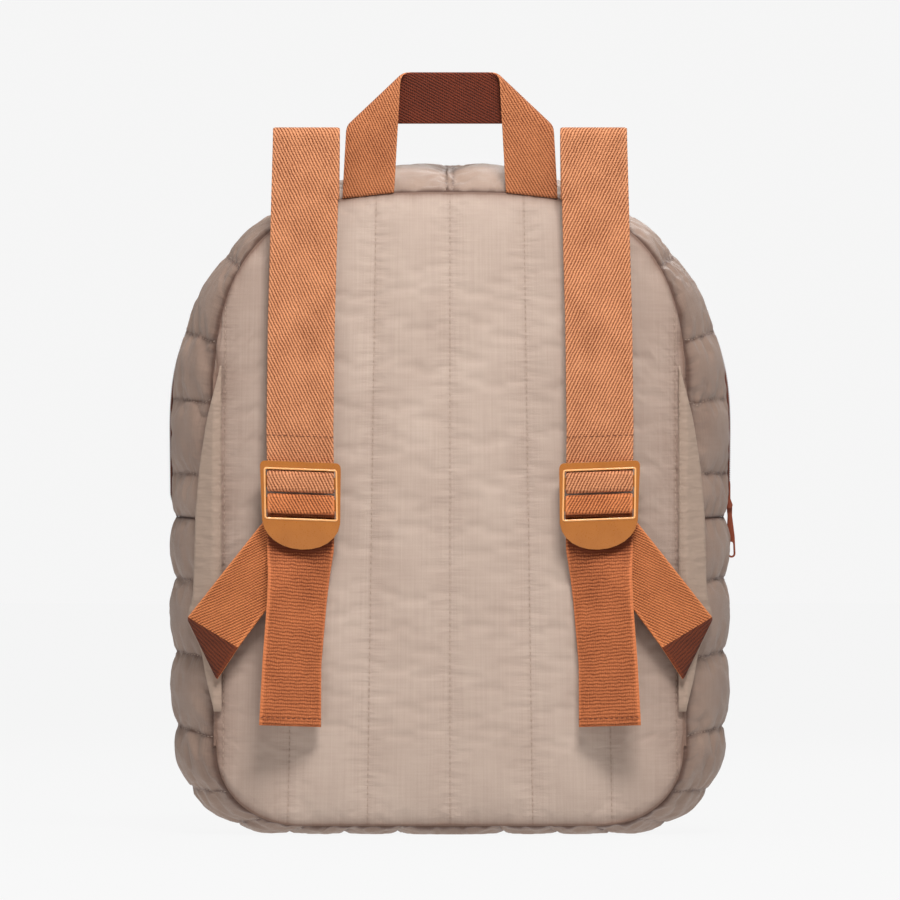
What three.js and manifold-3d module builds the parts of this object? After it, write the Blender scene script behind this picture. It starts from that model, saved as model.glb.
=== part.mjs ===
// Quilted puffer backpack, in millimetres: +Z up, +X to the right of the wearer's side, which faces -Y.
// The origin is on the resting surface, under the zip plane, at the middle of the base.
import * as THREE from "three";
import { mergeVertices } from "three/addons/utils/BufferGeometryUtils.js";
import Module from "manifold-3d";

const wasm = await Module();
wasm.setup();

// Clearance between pieces that touch on the real bag.
const GAP = 0.3;

// Body: the outline over the zip, the two seam outlines, and the depths between them.
const BODY_WIDTH = 315;
const BODY_HEIGHT = 378;
const WIDEST_LEVEL = 228;
const TOP_SQUARENESS = 2.25;
const SIDE_TAPER = 1.5;
const CORNER_WIDTH = 62;
const CORNER_HEIGHT = 55;
const CORNER_SQUARENESS = 2.2;
const SEAM_WIDTH = 266;
const SEAM_TOP_LEVEL = 361.7;
const SEAM_BASE_LEVEL = 5;
const SEAM_TOP_SQUARENESS = 3.1;
const SEAM_CORNER_WIDTH = 50;
const SEAM_CORNER_HEIGHT = 45;
const BACK_DEPTH = 60;
const FRONT_DEPTH = 54;
const SIDE_BULGE = 2.2;
const BASE_REST = 0.6;

// Padding and quilting.
const SEWN_WALL = 2.5;
const GUSSET_PUFF = 3.4;
const PANEL_PUFF = 5;
const LINING_PUFF = 1.2;
const PUFF_AT_ZIP = 0.6;
const PUFF_ROUNDNESS = 0.8;
const GUSSET_CHANNEL = 40;
const ZIP_END_CHANNEL = 23;
const PANEL_CHANNEL = 44;
const PANEL_OUTER_LINE = 127;
const PANEL_FAN = 0.13;
const PANEL_CROWN = 8;
const STEPS_PER_CHANNEL = 4;

// Zip, slider and pull.
const ZIP_END_LEVEL = 179;
const ZIP_WIDTH = 8;
const ZIP_TAPE = 1.6;
const ZIP_SINK = 1.5;
const COIL_WIDTH = 3;
const COIL_HEIGHT = 1.3;
const SLIDER_LENGTH = 12.5;
const SLIDER_WIDTH = 7.2;
const SLIDER_THICKNESS = 3.4;
const SLIDER_ABOVE_END = 9;
const BAIL_RADIUS = 1.9;
const BAIL_PIN_RADIUS = 0.8;
const BAIL_CHEEK = 1.7;
const BAIL_OVERLAP = 0.6;
const PULL_LENGTH = 30;
const PULL_WIDTH = 4.6;
const PULL_NECK = 2.6;
const PULL_THICKNESS = 2;
const PULL_HOLE_LENGTH = 8;
const PULL_HOLE_WIDTH = 2.4;
const PULL_EYE_WALL = 0.4;
const PULL_NECK_SHARE = 0.2;
const PULL_WIDE_SHARE = 0.6;
const PULL_LEAN = 2.5;

// Carrying handle.
const HANDLE_WEBBING = 29;
const HANDLE_THICKNESS = 2;
const HANDLE_TOP_LEVEL = 429.3;
const HANDLE_LEG_CENTRE = 46;
const HANDLE_LEAN = 3.2;
const HANDLE_FOLD_RADIUS = 3;

// Shoulder straps.
const STRAP_WIDTH = 37.6;
const STRAP_THICKNESS = 2.2;
const STRAP_CENTRE = 80.7;
const STRAP_TOP_LEVEL = 398;
const STRAP_FOLD_RADIUS = 4.6;
const STRAP_STAND_OFF = 3.6;
const STRAP_LOOP_SEAM = 13;
const STRAP_LOOP_CLOSE = 4;

// Ladder-lock buckles.
const BUCKLE_CENTRE = 83.6;
const BUCKLE_LEVEL = 182.9;
const BUCKLE_OUT = 25;
const BUCKLE_RAIL = 3.2;
const BUCKLE_SIDE_PLAY = 0.7;
const BUCKLE_TOP_BAR = 4.8;
const BUCKLE_LIP = 17.6;
const BUCKLE_WAIST = 0.8;
const BUCKLE_SHOULDER_SHARE = 0.12;
const BUCKLE_LIP_ROUND = 6;
const BUCKLE_THICKNESS = 4;
const BUCKLE_TILT = 2.2;
const BUCKLE_CORNER = 3.4;
const BAR_HEIGHT = 6.6;
const BAR_THICKNESS = 3.2;
const BAR_GAP = 5.7;
const WEB_PASSAGE = 3.4;
const LIP_PASSAGE = 4.6;

// Lower straps, their tails, and the side wings that hold them.
const WEB_THICKNESS = 2;
const WEB_START_DROP = 4;
const TAIL_LENGTH = 119.9;
const TAIL_YAW = 22;
const TAIL_DRIFT = 8;
const TAIL_HANG_OUT = 3;
const WING_THICKNESS = 2;
const WING_TOP_LEVEL = 264;
const WING_TIP_LEVEL = 121.5;
const WING_FOOT_LEVEL = 69.5;
const WING_REACH = 16;
const WING_HEM_ANGLE = 63.5;
const WING_TIP_INSET = 9;
const WING_TIP_DEPTH = BACK_DEPTH - WING_TIP_INSET;
const WING_BORDER = 1.5;
const WING_STITCH_INSET = 1.5;
const HEM_LIFT = 2.9;
const RIDGE_DROP = 15.3;
const RIDGE_IN = 28.9;
const RIDGE_LEAN = 21;
const WEB_BOW = 3.5;

const lerp = THREE.MathUtils.lerp;
const rad = THREE.MathUtils.degToRad;
const v3 = (x, y, z) => new THREE.Vector3(x, y, z);

// A closed body from positions and triangles, turned to face outwards.
function closedGeometry(positions, triangles) {
  const corner = (k) => v3(...positions.slice(triangles[k] * 3, triangles[k] * 3 + 3));
  let sixfoldVolume = 0;
  for (let k = 0; k < triangles.length; k += 3)
    sixfoldVolume += corner(k).dot(corner(k + 1).cross(corner(k + 2)));
  if (sixfoldVolume < 0)
    for (let k = 0; k < triangles.length; k += 3)
      [triangles[k + 1], triangles[k + 2]] = [triangles[k + 2], triangles[k + 1]];
  const geometry = new THREE.BufferGeometry();
  geometry.setAttribute("position", new THREE.Float32BufferAttribute(positions, 3));
  geometry.setIndex(triangles);
  return geometry;
}

// A thick sheet between two grids of points, closed round its four edges.
function slab(columns, rows, outer, inner) {
  const positions = [];
  for (const face of [outer, inner])
    for (let i = 0; i <= columns; i++)
      for (let j = 0; j <= rows; j++) positions.push(...face(i, j).toArray());
  const at = (side, i, j) => (side * (columns + 1) + i) * (rows + 1) + j;
  const triangles = [];
  const quad = (a, b, c, d) => triangles.push(a, b, c, a, c, d);
  for (let i = 0; i < columns; i++) {
    for (let j = 0; j < rows; j++) {
      quad(at(0, i, j), at(0, i + 1, j), at(0, i + 1, j + 1), at(0, i, j + 1));
      quad(at(1, i, j), at(1, i, j + 1), at(1, i + 1, j + 1), at(1, i + 1, j));
    }
    quad(at(0, i, 0), at(1, i, 0), at(1, i + 1, 0), at(0, i + 1, 0));
    quad(at(0, i, rows), at(0, i + 1, rows), at(1, i + 1, rows), at(1, i, rows));
  }
  for (let j = 0; j < rows; j++) {
    quad(at(0, 0, j), at(0, 0, j + 1), at(1, 0, j + 1), at(1, 0, j));
    quad(at(0, columns, j), at(1, columns, j), at(1, columns, j + 1), at(0, columns, j + 1));
  }
  return closedGeometry(positions, triangles);
}

// Webbing through sections, each the two edge points of its middle surface and the way its face looks.
function webbing(sections, thickness) {
  const face = (side) => (i, j) => {
    const { a, b, normal } = sections[i];
    return (j ? b : a).clone().addScaledVector(normal, (side * thickness) / 2);
  };
  return slab(sections.length - 1, 1, face(1), face(-1));
}

// Normals of a strip from its own edges, each leaning halfway between the facets beside it.
function withNormals(sections, towards) {
  const middle = sections.map(({ a, b }) => a.clone().lerp(b, 0.5));
  let last = towards;
  return sections.map(({ a, b }, k) => {
    const along = middle[Math.min(k + 1, middle.length - 1)].clone();
    along.sub(middle[Math.max(k - 1, 0)]);
    const normal = along.cross(b.clone().sub(a)).normalize();
    if (normal.dot(last) < 0) normal.negate();
    last = normal;
    return { a, b, normal };
  });
}

// A route of straight stretches with rounded corners, as [x, y] pairs.
function roundedRoute(corners, radius, steps) {
  const route = [corners[0]];
  for (let k = 1; k < corners.length - 1; k++) {
    const here = new THREE.Vector2(...corners[k]);
    const back = new THREE.Vector2(...corners[k - 1]).sub(here);
    const ahead = new THREE.Vector2(...corners[k + 1]).sub(here);
    const half = back.angleTo(ahead) / 2;
    if (half > rad(85)) {
      route.push(corners[k]);
      continue;
    }
    const room = Math.min(back.length(), ahead.length()) * 0.49;
    const reach = Math.min(radius / Math.tan(half), room);
    const start = here.clone().addScaledVector(back.normalize(), reach);
    const end = here.clone().addScaledVector(ahead.normalize(), reach);
    const inwards = back.clone().add(ahead).normalize();
    const centre = here.clone().addScaledVector(inwards, reach / Math.cos(half));
    const from = start.clone().sub(centre);
    const turn = from.angleTo(end.clone().sub(centre)) * Math.sign(from.cross(end.sub(centre)));
    for (let s = 0; s <= steps; s++) {
      const spoke = from.clone().rotateAround(new THREE.Vector2(), (turn * s) / steps);
      route.push(spoke.add(centre).toArray());
    }
  }
  route.push(corners[corners.length - 1]);
  return route;
}

function toManifold(geometry) {
  const bare = geometry.clone();
  for (const name of ["normal", "uv"]) bare.deleteAttribute(name);
  const merged = mergeVertices(bare, 1e-4);
  const corners = merged.index.array;
  const triVerts = [];
  for (let k = 0; k < corners.length; k += 3) {
    const [a, b, c] = corners.slice(k, k + 3);
    if (a !== b && b !== c && c !== a) triVerts.push(a, b, c);
  }
  const vertProperties = merged.attributes.position.array;
  const mesh = { numProp: 3, vertProperties, triVerts: new Uint32Array(triVerts) };
  return new wasm.Manifold(new wasm.Mesh(mesh));
}

function fromManifold(body) {
  const { vertProperties, triVerts } = body.getMesh();
  const geometry = new THREE.BufferGeometry();
  geometry.setAttribute("position", new THREE.Float32BufferAttribute(vertProperties, 3));
  geometry.setIndex(Array.from(triVerts));
  return geometry;
}

function arcPoints(x, y, radius, from, to, steps) {
  return Array.from({ length: steps + 1 }, (_, k) => {
    const angle = lerp(from, to, k / steps);
    return new THREE.Vector2(x + radius * Math.cos(angle), y + radius * Math.sin(angle));
  });
}

// A front-view shape (x, z) made thick along Y, between two depths.
function thickShape(shape, yLow, yHigh, curveSegments) {
  const geometry = new THREE.ExtrudeGeometry(shape, {
    depth: yHigh - yLow,
    bevelEnabled: false,
    curveSegments,
  });
  geometry.rotateX(Math.PI / 2);
  geometry.translate(0, yHigh, 0);
  return geometry;
}

const materials = {
  fabric: new THREE.MeshStandardMaterial({ color: 0xbeaa9b, roughness: 0.85, metalness: 0 }),
  wing: new THREE.MeshStandardMaterial({ color: 0xc3af9f, roughness: 0.85, metalness: 0 }),
  strap: new THREE.MeshStandardMaterial({ color: 0xcd8255, roughness: 0.8, metalness: 0 }),
  lowerStrap: new THREE.MeshStandardMaterial({ color: 0xbe6e41, roughness: 0.8, metalness: 0 }),
  buckle: new THREE.MeshStandardMaterial({ color: 0xc8873c, roughness: 0.45, metalness: 0 }),
  zip: new THREE.MeshStandardMaterial({ color: 0x643223, roughness: 0.7, metalness: 0 }),
  pull: new THREE.MeshStandardMaterial({ color: 0x8c4128, roughness: 0.5, metalness: 0 }),
};

const bag = new THREE.Group();
function add(name, geometry, material) {
  const mesh = new THREE.Mesh(geometry, material);
  mesh.name = name;
  bag.add(mesh);
}

// Half outlines in front view, read by place: 0 top centre, 1 widest level, 2 and 3 the ends of the
// bottom corner, 4 bottom centre.
const zipOutline = {
  half: BODY_WIDTH / 2 - GUSSET_PUFF * PUFF_AT_ZIP,
  rise: BODY_HEIGHT - GUSSET_PUFF * PUFF_AT_ZIP - WIDEST_LEVEL,
  squareness: TOP_SQUARENESS,
  taper: SIDE_TAPER,
  cornerWidth: CORNER_WIDTH,
  cornerHeight: CORNER_HEIGHT,
  floor: GUSSET_PUFF * PUFF_AT_ZIP - BASE_REST,
};
const seamOutline = {
  half: SEAM_WIDTH / 2,
  rise: SEAM_TOP_LEVEL - WIDEST_LEVEL,
  squareness: SEAM_TOP_SQUARENESS,
  taper: SIDE_TAPER,
  cornerWidth: SEAM_CORNER_WIDTH,
  cornerHeight: SEAM_CORNER_HEIGHT,
  floor: SEAM_BASE_LEVEL,
};

function outlinePoint(outline, place) {
  const foot = outline.half - outline.taper;
  if (place <= 1) {
    const angle = ((1 - place) * Math.PI) / 2;
    const across = Math.cos(angle) / outline.half;
    const up = Math.sin(angle) / outline.rise;
    const n = outline.squareness;
    const reach = (across ** n + up ** n) ** (-1 / n);
    return [reach * Math.cos(angle), WIDEST_LEVEL + reach * Math.sin(angle)];
  }
  if (place <= 2) {
    const cornerTop = outline.floor + outline.cornerHeight;
    return [lerp(outline.half, foot, place - 1), lerp(WIDEST_LEVEL, cornerTop, place - 1)];
  }
  if (place <= 3) {
    const angle = ((place - 2) * Math.PI) / 2;
    const power = 2 / CORNER_SQUARENESS;
    return [
      foot - outline.cornerWidth * (1 - Math.cos(angle) ** power),
      outline.floor + outline.cornerHeight * (1 - Math.sin(angle) ** power),
    ];
  }
  return [(foot - outline.cornerWidth) * (4 - place), outline.floor];
}

// Lengths along the zip outline, and the way back from a length or a level to a place.
const OUTLINE_STEPS = 800;
const placeOf = (step) => (4 * step) / OUTLINE_STEPS;
const outlineLengths = [0];
for (let step = 1; step <= OUTLINE_STEPS; step++) {
  const [x0, z0] = outlinePoint(zipOutline, placeOf(step - 1));
  const [x1, z1] = outlinePoint(zipOutline, placeOf(step));
  outlineLengths.push(outlineLengths[step - 1] + Math.hypot(x1 - x0, z1 - z0));
}
const halfLength = outlineLengths[OUTLINE_STEPS];

function placeAtLength(length) {
  const step = Math.max(1, outlineLengths.findIndex((l) => l >= Math.min(length, halfLength)));
  const [low, high] = [outlineLengths[step - 1], outlineLengths[step]];
  return placeOf(step - 1 + (Math.min(length, halfLength) - low) / (high - low));
}

const zipEndLength = (() => {
  const step = outlineLengths.findIndex((_, k) => {
    const [, z] = outlinePoint(zipOutline, placeOf(k));
    return k > OUTLINE_STEPS / 8 && z <= ZIP_END_LEVEL;
  });
  return outlineLengths[step];
})();

// The body's outer surface at the stitching. length runs from the top centre, signed towards +X;
// depth runs from -1 at the back seam through 0 at the zip plane to 1 at the front seam.
function bodyPoint(length, depth) {
  const place = placeAtLength(Math.abs(length));
  const [xZip, zZip] = outlinePoint(zipOutline, place);
  const [xSeam, zSeam] = outlinePoint(seamOutline, place);
  const spread = 1 - Math.min(Math.abs(depth), 1) ** SIDE_BULGE;
  const side = Math.sign(length) || 1;
  const reach = depth < 0 ? BACK_DEPTH - GAP : FRONT_DEPTH - GAP;
  return v3(side * lerp(xSeam, xZip, spread), depth * reach, lerp(zSeam, zZip, spread));
}

function bodyNormal(length, depth) {
  const step = 2;
  const low = Math.max(depth - 0.02, -1);
  const high = Math.min(depth + 0.02, 1);
  const along = bodyPoint(length + step, depth).sub(bodyPoint(length - step, depth));
  const across = bodyPoint(length, high).sub(bodyPoint(length, low));
  const normal = along.cross(across).normalize();
  const here = bodyPoint(length, depth);
  return normal.dot(v3(here.x, 0, here.z - WIDEST_LEVEL)) < 0 ? normal.negate() : normal;
}

const channelShape = (share) => Math.sin(Math.PI * share) ** PUFF_ROUNDNESS || 0;

// Columns across a run of quilted channels: four steps for each channel between two sewn creases.
function channelColumns(creases) {
  const columns = [];
  creases.slice(1).forEach((end, c) => {
    for (let s = 0; s < STEPS_PER_CHANNEL; s++) {
      const share = s / STEPS_PER_CHANNEL;
      columns.push({ length: lerp(creases[c], end, share), puff: channelShape(share) });
    }
  });
  columns.push({ length: creases[creases.length - 1], puff: 0 });
  return columns;
}

const topCreases = (() => {
  const long = zipEndLength - ZIP_END_CHANNEL;
  const count = Math.max(1, Math.round(long / GUSSET_CHANNEL));
  const right = Array.from({ length: count + 1 }, (_, k) => (long * k) / count);
  right.push(zipEndLength - GAP / 2);
  return [...right.slice(1).reverse().map((l) => -l), ...right];
})();

const bottomCreases = (() => {
  const half = halfLength - zipEndLength - GAP / 2;
  const count = 2 * Math.max(1, Math.round(half / GUSSET_CHANNEL - 0.5)) + 1;
  return Array.from({ length: count + 1 }, (_, k) => lerp(-half, half, k / count));
})();

// Height of the padding over the stitching, from the seam (share 0) towards the zip plane (share 1).
function gussetRise(share, atZip) {
  const rise = Math.sin((Math.PI / 2) * Math.min(1, share * 2.2));
  return rise * lerp(1, atZip, THREE.MathUtils.smoothstep(share, 0.4, 1));
}

// One padded strip of the gusset between two depths, over its channels.
function gussetStrip(columns, depths, atZip, lengthOf) {
  const surface = (outward) => (i, j) => {
    const length = lengthOf(columns[i].length);
    const depth = depths[j];
    const puff = columns[i].puff * gussetRise(1 - Math.abs(depth), atZip);
    const offset = outward ? GUSSET_PUFF * puff : -SEWN_WALL - LINING_PUFF * puff;
    const point = bodyPoint(length, depth).addScaledVector(bodyNormal(length, depth), offset);
    if (Math.abs(depth) < 1 && Math.abs(depth) < ZIP_WIDTH / BACK_DEPTH)
      point.y = bodyPoint(length, depth).y;
    if (outward) point.z = Math.max(point.z, 0);
    return point;
  };
  return slab(columns.length - 1, depths.length - 1, surface(true), surface(false));
}

const zipEdge = ZIP_WIDTH / 2 + GAP;
const stripShares = [0, 0.28, 0.56, 0.8, 1];
const backDepths = stripShares.map((s) => lerp(-1, -zipEdge / (BACK_DEPTH - GAP), s));
const frontDepths = stripShares.map((s) => lerp(1, zipEdge / (FRONT_DEPTH - GAP), s));
const bottomShares = [1, 0.78, 0.5, 0.22];
const bottomDepths = [...bottomShares.map((s) => -s), 0, ...bottomShares.toReversed()];

const topColumns = channelColumns(topCreases);
const bottomColumns = channelColumns(bottomCreases);
add("top_gusset_back", gussetStrip(topColumns, backDepths, PUFF_AT_ZIP, (l) => l), materials.fabric);
add("top_gusset_front", gussetStrip(topColumns, frontDepths, PUFF_AT_ZIP, (l) => l), materials.fabric);
const fromBase = (l) => (Math.sign(l) || 1) * (halfLength - Math.abs(l));
add("bottom_gusset", gussetStrip(bottomColumns, bottomDepths, PUFF_AT_ZIP, fromBase), materials.fabric);

// Back and front panels: columns of vertical channels between the top and the bottom of the seam.
function seamLevel(x, top) {
  const across = Math.min(Math.abs(x), seamOutline.half);
  const foot = seamOutline.half - seamOutline.taper;
  if (top) {
    const n = seamOutline.squareness;
    return WIDEST_LEVEL + seamOutline.rise * (1 - (across / seamOutline.half) ** n) ** (1 / n);
  }
  const into = Math.min(1, Math.max(0, across - (foot - seamOutline.cornerWidth)) / seamOutline.cornerWidth);
  const drop = (1 - into ** CORNER_SQUARENESS) ** (1 / CORNER_SQUARENESS);
  return seamOutline.floor + seamOutline.cornerHeight * (1 - drop);
}

const panelColumns = (() => {
  const whole = Math.floor((PANEL_OUTER_LINE - PANEL_CHANNEL / 3) / PANEL_CHANNEL);
  const lines = Array.from({ length: whole + 1 }, (_, k) => k * PANEL_CHANNEL);
  lines.push(PANEL_OUTER_LINE, seamOutline.half);
  const right = channelColumns(lines);
  for (const column of right) if (column.length > PANEL_OUTER_LINE) column.puff = 0;
  return [...right.slice(1).reverse().map((c) => ({ ...c, length: -c.length })), ...right];
})();
const PANEL_ROWS = 12;

function panelPlace(column, row) {
  const share = row / PANEL_ROWS;
  const outwards = 1 - (column.length / seamOutline.half) ** 2;
  const x = column.length * (1 + PANEL_FAN * (0.5 - share) * outwards);
  return [x, lerp(seamLevel(x, false), seamLevel(x, true), share)];
}

function panelSurface(column, row) {
  const [x, z] = panelPlace(column, row);
  const share = row / PANEL_ROWS;
  const across = Math.min(1, Math.abs(x) / seamOutline.half);
  const dome = (1 - across ** 2) * Math.sin(Math.PI * share) ** 0.7;
  const rise = column.puff * Math.min(1, 2.6 * Math.sin(Math.PI * share));
  return { x, z, crown: PANEL_CROWN * (dome || 0), puff: rise || 0 };
}

function panel(side, seamDepth) {
  const surface = (outward) => (i, j) => {
    const { x, z, crown, puff } = panelSurface(panelColumns[i], j);
    const height = outward ? SEWN_WALL + PANEL_PUFF * puff : -LINING_PUFF * puff;
    return v3(x, side * (seamDepth + crown + height), z);
  };
  return slab(panelColumns.length - 1, PANEL_ROWS, surface(true), surface(false));
}
add("back_panel", panel(-1, BACK_DEPTH), materials.fabric);
add("front_panel", panel(1, FRONT_DEPTH), materials.fabric);

// The panel's top rim between two columns, and a straight end that rests a clearance above it.
const rim = panelColumns.map((column) => panelPlace(column, PANEL_ROWS));
function rimLevel(x) {
  const k = Math.max(1, rim.findIndex(([rx]) => rx >= x));
  const [[x0, z0], [x1, z1]] = [rim[k - 1], rim[k]];
  return lerp(z0, z1, (x - x0) / (x1 - x0));
}
function seatOnRim(xLow, xHigh) {
  const line = (x) => lerp(rimLevel(xLow), rimLevel(xHigh), (x - xLow) / (xHigh - xLow));
  const over = rim.filter(([x]) => x > xLow && x < xHigh).map(([x, z]) => z - line(x));
  const lift = Math.max(0, ...over) + GAP;
  return (x) => line(x) + lift;
}
const RIM_MIDDLE_Y = -(BACK_DEPTH + SEWN_WALL / 2);

// Zip: a tape with its raised coil, between the two top strips.
const TAPE_PROFILE = [
  { across: -1, coil: 0 },
  { across: -COIL_WIDTH / ZIP_WIDTH - 0.1, coil: 0 },
  { across: -COIL_WIDTH / ZIP_WIDTH, coil: 1 },
  { across: COIL_WIDTH / ZIP_WIDTH, coil: 1 },
  { across: COIL_WIDTH / ZIP_WIDTH + 0.1, coil: 0 },
  { across: 1, coil: 0 },
];
const TAPE_STEPS = 44;
const tapeSurface = (outward) => (i, j) => {
  const length = lerp(-1, 1, i / TAPE_STEPS) * (zipEndLength - GAP / 2);
  const { across, coil } = TAPE_PROFILE[j];
  const inward = bodyNormal(length, 0).setY(0).normalize();
  const sink = outward ? ZIP_SINK - COIL_HEIGHT * coil : ZIP_SINK + ZIP_TAPE;
  const point = bodyPoint(length, 0).addScaledVector(inward, -sink);
  point.y = (across * ZIP_WIDTH) / 2;
  return point;
};
const tape = slab(TAPE_STEPS, TAPE_PROFILE.length - 1, tapeSurface(true), tapeSurface(false));
add("zip_tape", tape, materials.zip);

// Slider on the right-hand end of the zip, with a bail whose pin runs along Y.
const sliderBase = v3(0, 0, ZIP_END_LEVEL + SLIDER_ABOVE_END);
const coilTop = zipOutline.half - ZIP_SINK + COIL_HEIGHT;
const sliderInner = coilTop + GAP;
const sliderOuter = sliderInner + SLIDER_THICKNESS;
const pivot = { x: sliderOuter - BAIL_OVERLAP, z: sliderBase.z - BAIL_RADIUS - BAIL_OVERLAP };

const sliderShape = new THREE.Shape();
sliderShape.moveTo(sliderInner, sliderBase.z);
sliderShape.lineTo(sliderOuter, sliderBase.z);
sliderShape.lineTo(sliderOuter, sliderBase.z + SLIDER_LENGTH * 0.7);
sliderShape.quadraticCurveTo(
  sliderOuter, sliderBase.z + SLIDER_LENGTH, sliderInner, sliderBase.z + SLIDER_LENGTH,
);
sliderShape.closePath();
const cheekShape = new THREE.Shape();
cheekShape.moveTo(sliderOuter - 2 * BAIL_RADIUS, sliderBase.z + 1);
cheekShape.lineTo(pivot.x - BAIL_RADIUS, pivot.z);
cheekShape.absarc(pivot.x, pivot.z, BAIL_RADIUS, Math.PI, 2 * Math.PI, false);
cheekShape.lineTo(sliderOuter, sliderBase.z + 1);
cheekShape.closePath();
const sliderBody = thickShape(sliderShape, -SLIDER_WIDTH / 2, SLIDER_WIDTH / 2, 8);
const cheekInner = SLIDER_WIDTH / 2 - BAIL_CHEEK;
const cheeks = [
  thickShape(cheekShape, cheekInner, SLIDER_WIDTH / 2, 6),
  thickShape(cheekShape, -SLIDER_WIDTH / 2, -cheekInner, 6),
];
const pin = new THREE.CylinderGeometry(BAIL_PIN_RADIUS, BAIL_PIN_RADIUS, SLIDER_WIDTH - BAIL_CHEEK, 12);
pin.translate(pivot.x, 0, pivot.z);
const slider = [...cheeks, pin].reduce((body, g) => body.add(toManifold(g)), toManifold(sliderBody));
add("zip_slider", fromManifold(slider), materials.pull);

// Pull: a narrow plate with an eye round the pin and a slot near its free end.
const eyeRadius = PULL_NECK / 2 + PULL_EYE_WALL;
const slotRadius = PULL_HOLE_WIDTH / 2;
const slotLow = -PULL_LENGTH + PULL_WIDTH / 2;
const slotHigh = slotLow + PULL_HOLE_LENGTH - PULL_HOLE_WIDTH;
const pullSide = [
  new THREE.Vector2(PULL_NECK / 2, -PULL_LENGTH * PULL_NECK_SHARE),
  new THREE.Vector2(PULL_WIDTH / 2, -PULL_LENGTH * PULL_WIDE_SHARE),
];
const pullShape = new THREE.Shape([
  ...arcPoints(0, 0, eyeRadius, Math.PI, 0, 8),
  ...pullSide,
  ...arcPoints(0, slotLow, PULL_WIDTH / 2, 0, -Math.PI, 8),
  ...pullSide.toReversed().map((p) => new THREE.Vector2(-p.x, p.y)),
]);
pullShape.holes.push(
  new THREE.Path(arcPoints(0, 0, BAIL_PIN_RADIUS + GAP, 0, (22 / 12) * Math.PI, 11)),
  new THREE.Path([
    ...arcPoints(0, slotHigh, slotRadius, 0, Math.PI, 5),
    ...arcPoints(0, slotLow, slotRadius, Math.PI, 2 * Math.PI, 5),
  ]),
);
const pull = thickShape(pullShape, -PULL_THICKNESS / 2, PULL_THICKNESS / 2, 6);
pull.rotateY(rad(-PULL_LEAN));
pull.translate(pivot.x, 0, pivot.z);
add("zip_pull", fromManifold(toManifold(pull)), materials.pull);

// Handle: one strip. Each leg rises from the seam, wraps a slanting fold and runs on behind as the bar.
const legDirection = v3(-Math.sin(rad(HANDLE_LEAN)), 0, Math.cos(rad(HANDLE_LEAN)));
const legAcross = v3(legDirection.z, 0, -legDirection.x);
const foldAngle = rad((90 - HANDLE_LEAN) / 2);
const foldAxis = v3(-Math.cos(foldAngle), 0, Math.sin(foldAngle));
const foldOut = v3(Math.sin(foldAngle), 0, Math.cos(foldAngle));
const slide = legDirection.dot(foldAxis) / legDirection.dot(foldOut);
const barLevel = HANDLE_TOP_LEVEL - HANDLE_WEBBING / 2;
const legFoot = v3(HANDLE_LEG_CENTRE, 0, rimLevel(HANDLE_LEG_CENTRE));
const crossLevel = barLevel - Math.PI * HANDLE_FOLD_RADIUS * slide * foldAxis.z;
const legMiddle = legFoot.clone().addScaledVector(
  legDirection, (crossLevel - legFoot.z) / legDirection.z,
);
// Where a leg's edge (side -1 inner, 1 outer) crosses the fold's axis.
function edgeCrossing(side) {
  const edge = legMiddle.clone().addScaledVector(legAcross, (side * HANDLE_WEBBING) / 2);
  const off = edge.clone().sub(legMiddle).dot(foldOut);
  return edge.addScaledVector(legDirection, -off / legDirection.dot(foldOut));
}
const handleSections = (() => {
  const FOLD_STEPS = 6;
  const edges = [-1, 1].map(edgeCrossing);
  const feet = [-1, 1].map((side) => legFoot.x + (side * HANDLE_WEBBING) / 2 / legDirection.z);
  const seat = seatOnRim(...feet);
  const half = [{
    a: v3(feet[0], RIM_MIDDLE_Y, seat(feet[0])),
    b: v3(feet[1], RIM_MIDDLE_Y, seat(feet[1])),
    normal: v3(0, -1, 0),
  }];
  for (let s = 0; s <= FOLD_STEPS; s++) {
    const angle = (Math.PI * s) / FOLD_STEPS;
    const along = HANDLE_FOLD_RADIUS * angle * slide;
    const [a, b] = edges.map((edge) => {
      const p = edge.clone().addScaledVector(foldAxis, along);
      p.addScaledVector(foldOut, HANDLE_FOLD_RADIUS * Math.sin(angle));
      p.y = RIM_MIDDLE_Y + HANDLE_FOLD_RADIUS * (1 - Math.cos(angle));
      return p;
    });
    const normal = foldOut.clone().multiplyScalar(Math.sin(angle)).setY(-Math.cos(angle));
    half.push({ a, b, normal });
  }
  const mirrored = half.toReversed().map(({ a, b, normal }) => ({
    a: v3(-a.x, a.y, a.z),
    b: v3(-b.x, b.y, b.z),
    normal: v3(-normal.x, normal.y, normal.z),
  }));
  return [...half, ...mirrored];
})();
add("handle", webbing(handleSections, HANDLE_THICKNESS), materials.strap);

// Buckle sizes in its own frame: z from its middle, y from its middle plane, then placed at each side.
const windowHalf = STRAP_WIDTH / 2 + BUCKLE_SIDE_PLAY;
const buckleHalf = windowHalf + BUCKLE_RAIL;
const lowerBar = { low: 0, high: BAR_HEIGHT };
const upperBar = { low: lowerBar.high + BAR_GAP, high: lowerBar.high + BAR_GAP + BAR_HEIGHT };
const windowTop = upperBar.high + WEB_PASSAGE;
const windowLow = lowerBar.low - LIP_PASSAGE;
const buckleTop = windowTop + BUCKLE_TOP_BAR;
const buckleMiddle = (buckleTop + windowLow - BUCKLE_LIP) / 2;
const buckleY = -(BACK_DEPTH + BUCKLE_OUT);
const webBack = BUCKLE_THICKNESS / 2 + GAP + STRAP_THICKNESS / 2;
const webFar = webBack + STRAP_THICKNESS + GAP;
const webFront = BAR_THICKNESS / 2 + GAP + STRAP_THICKNESS / 2;

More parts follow.
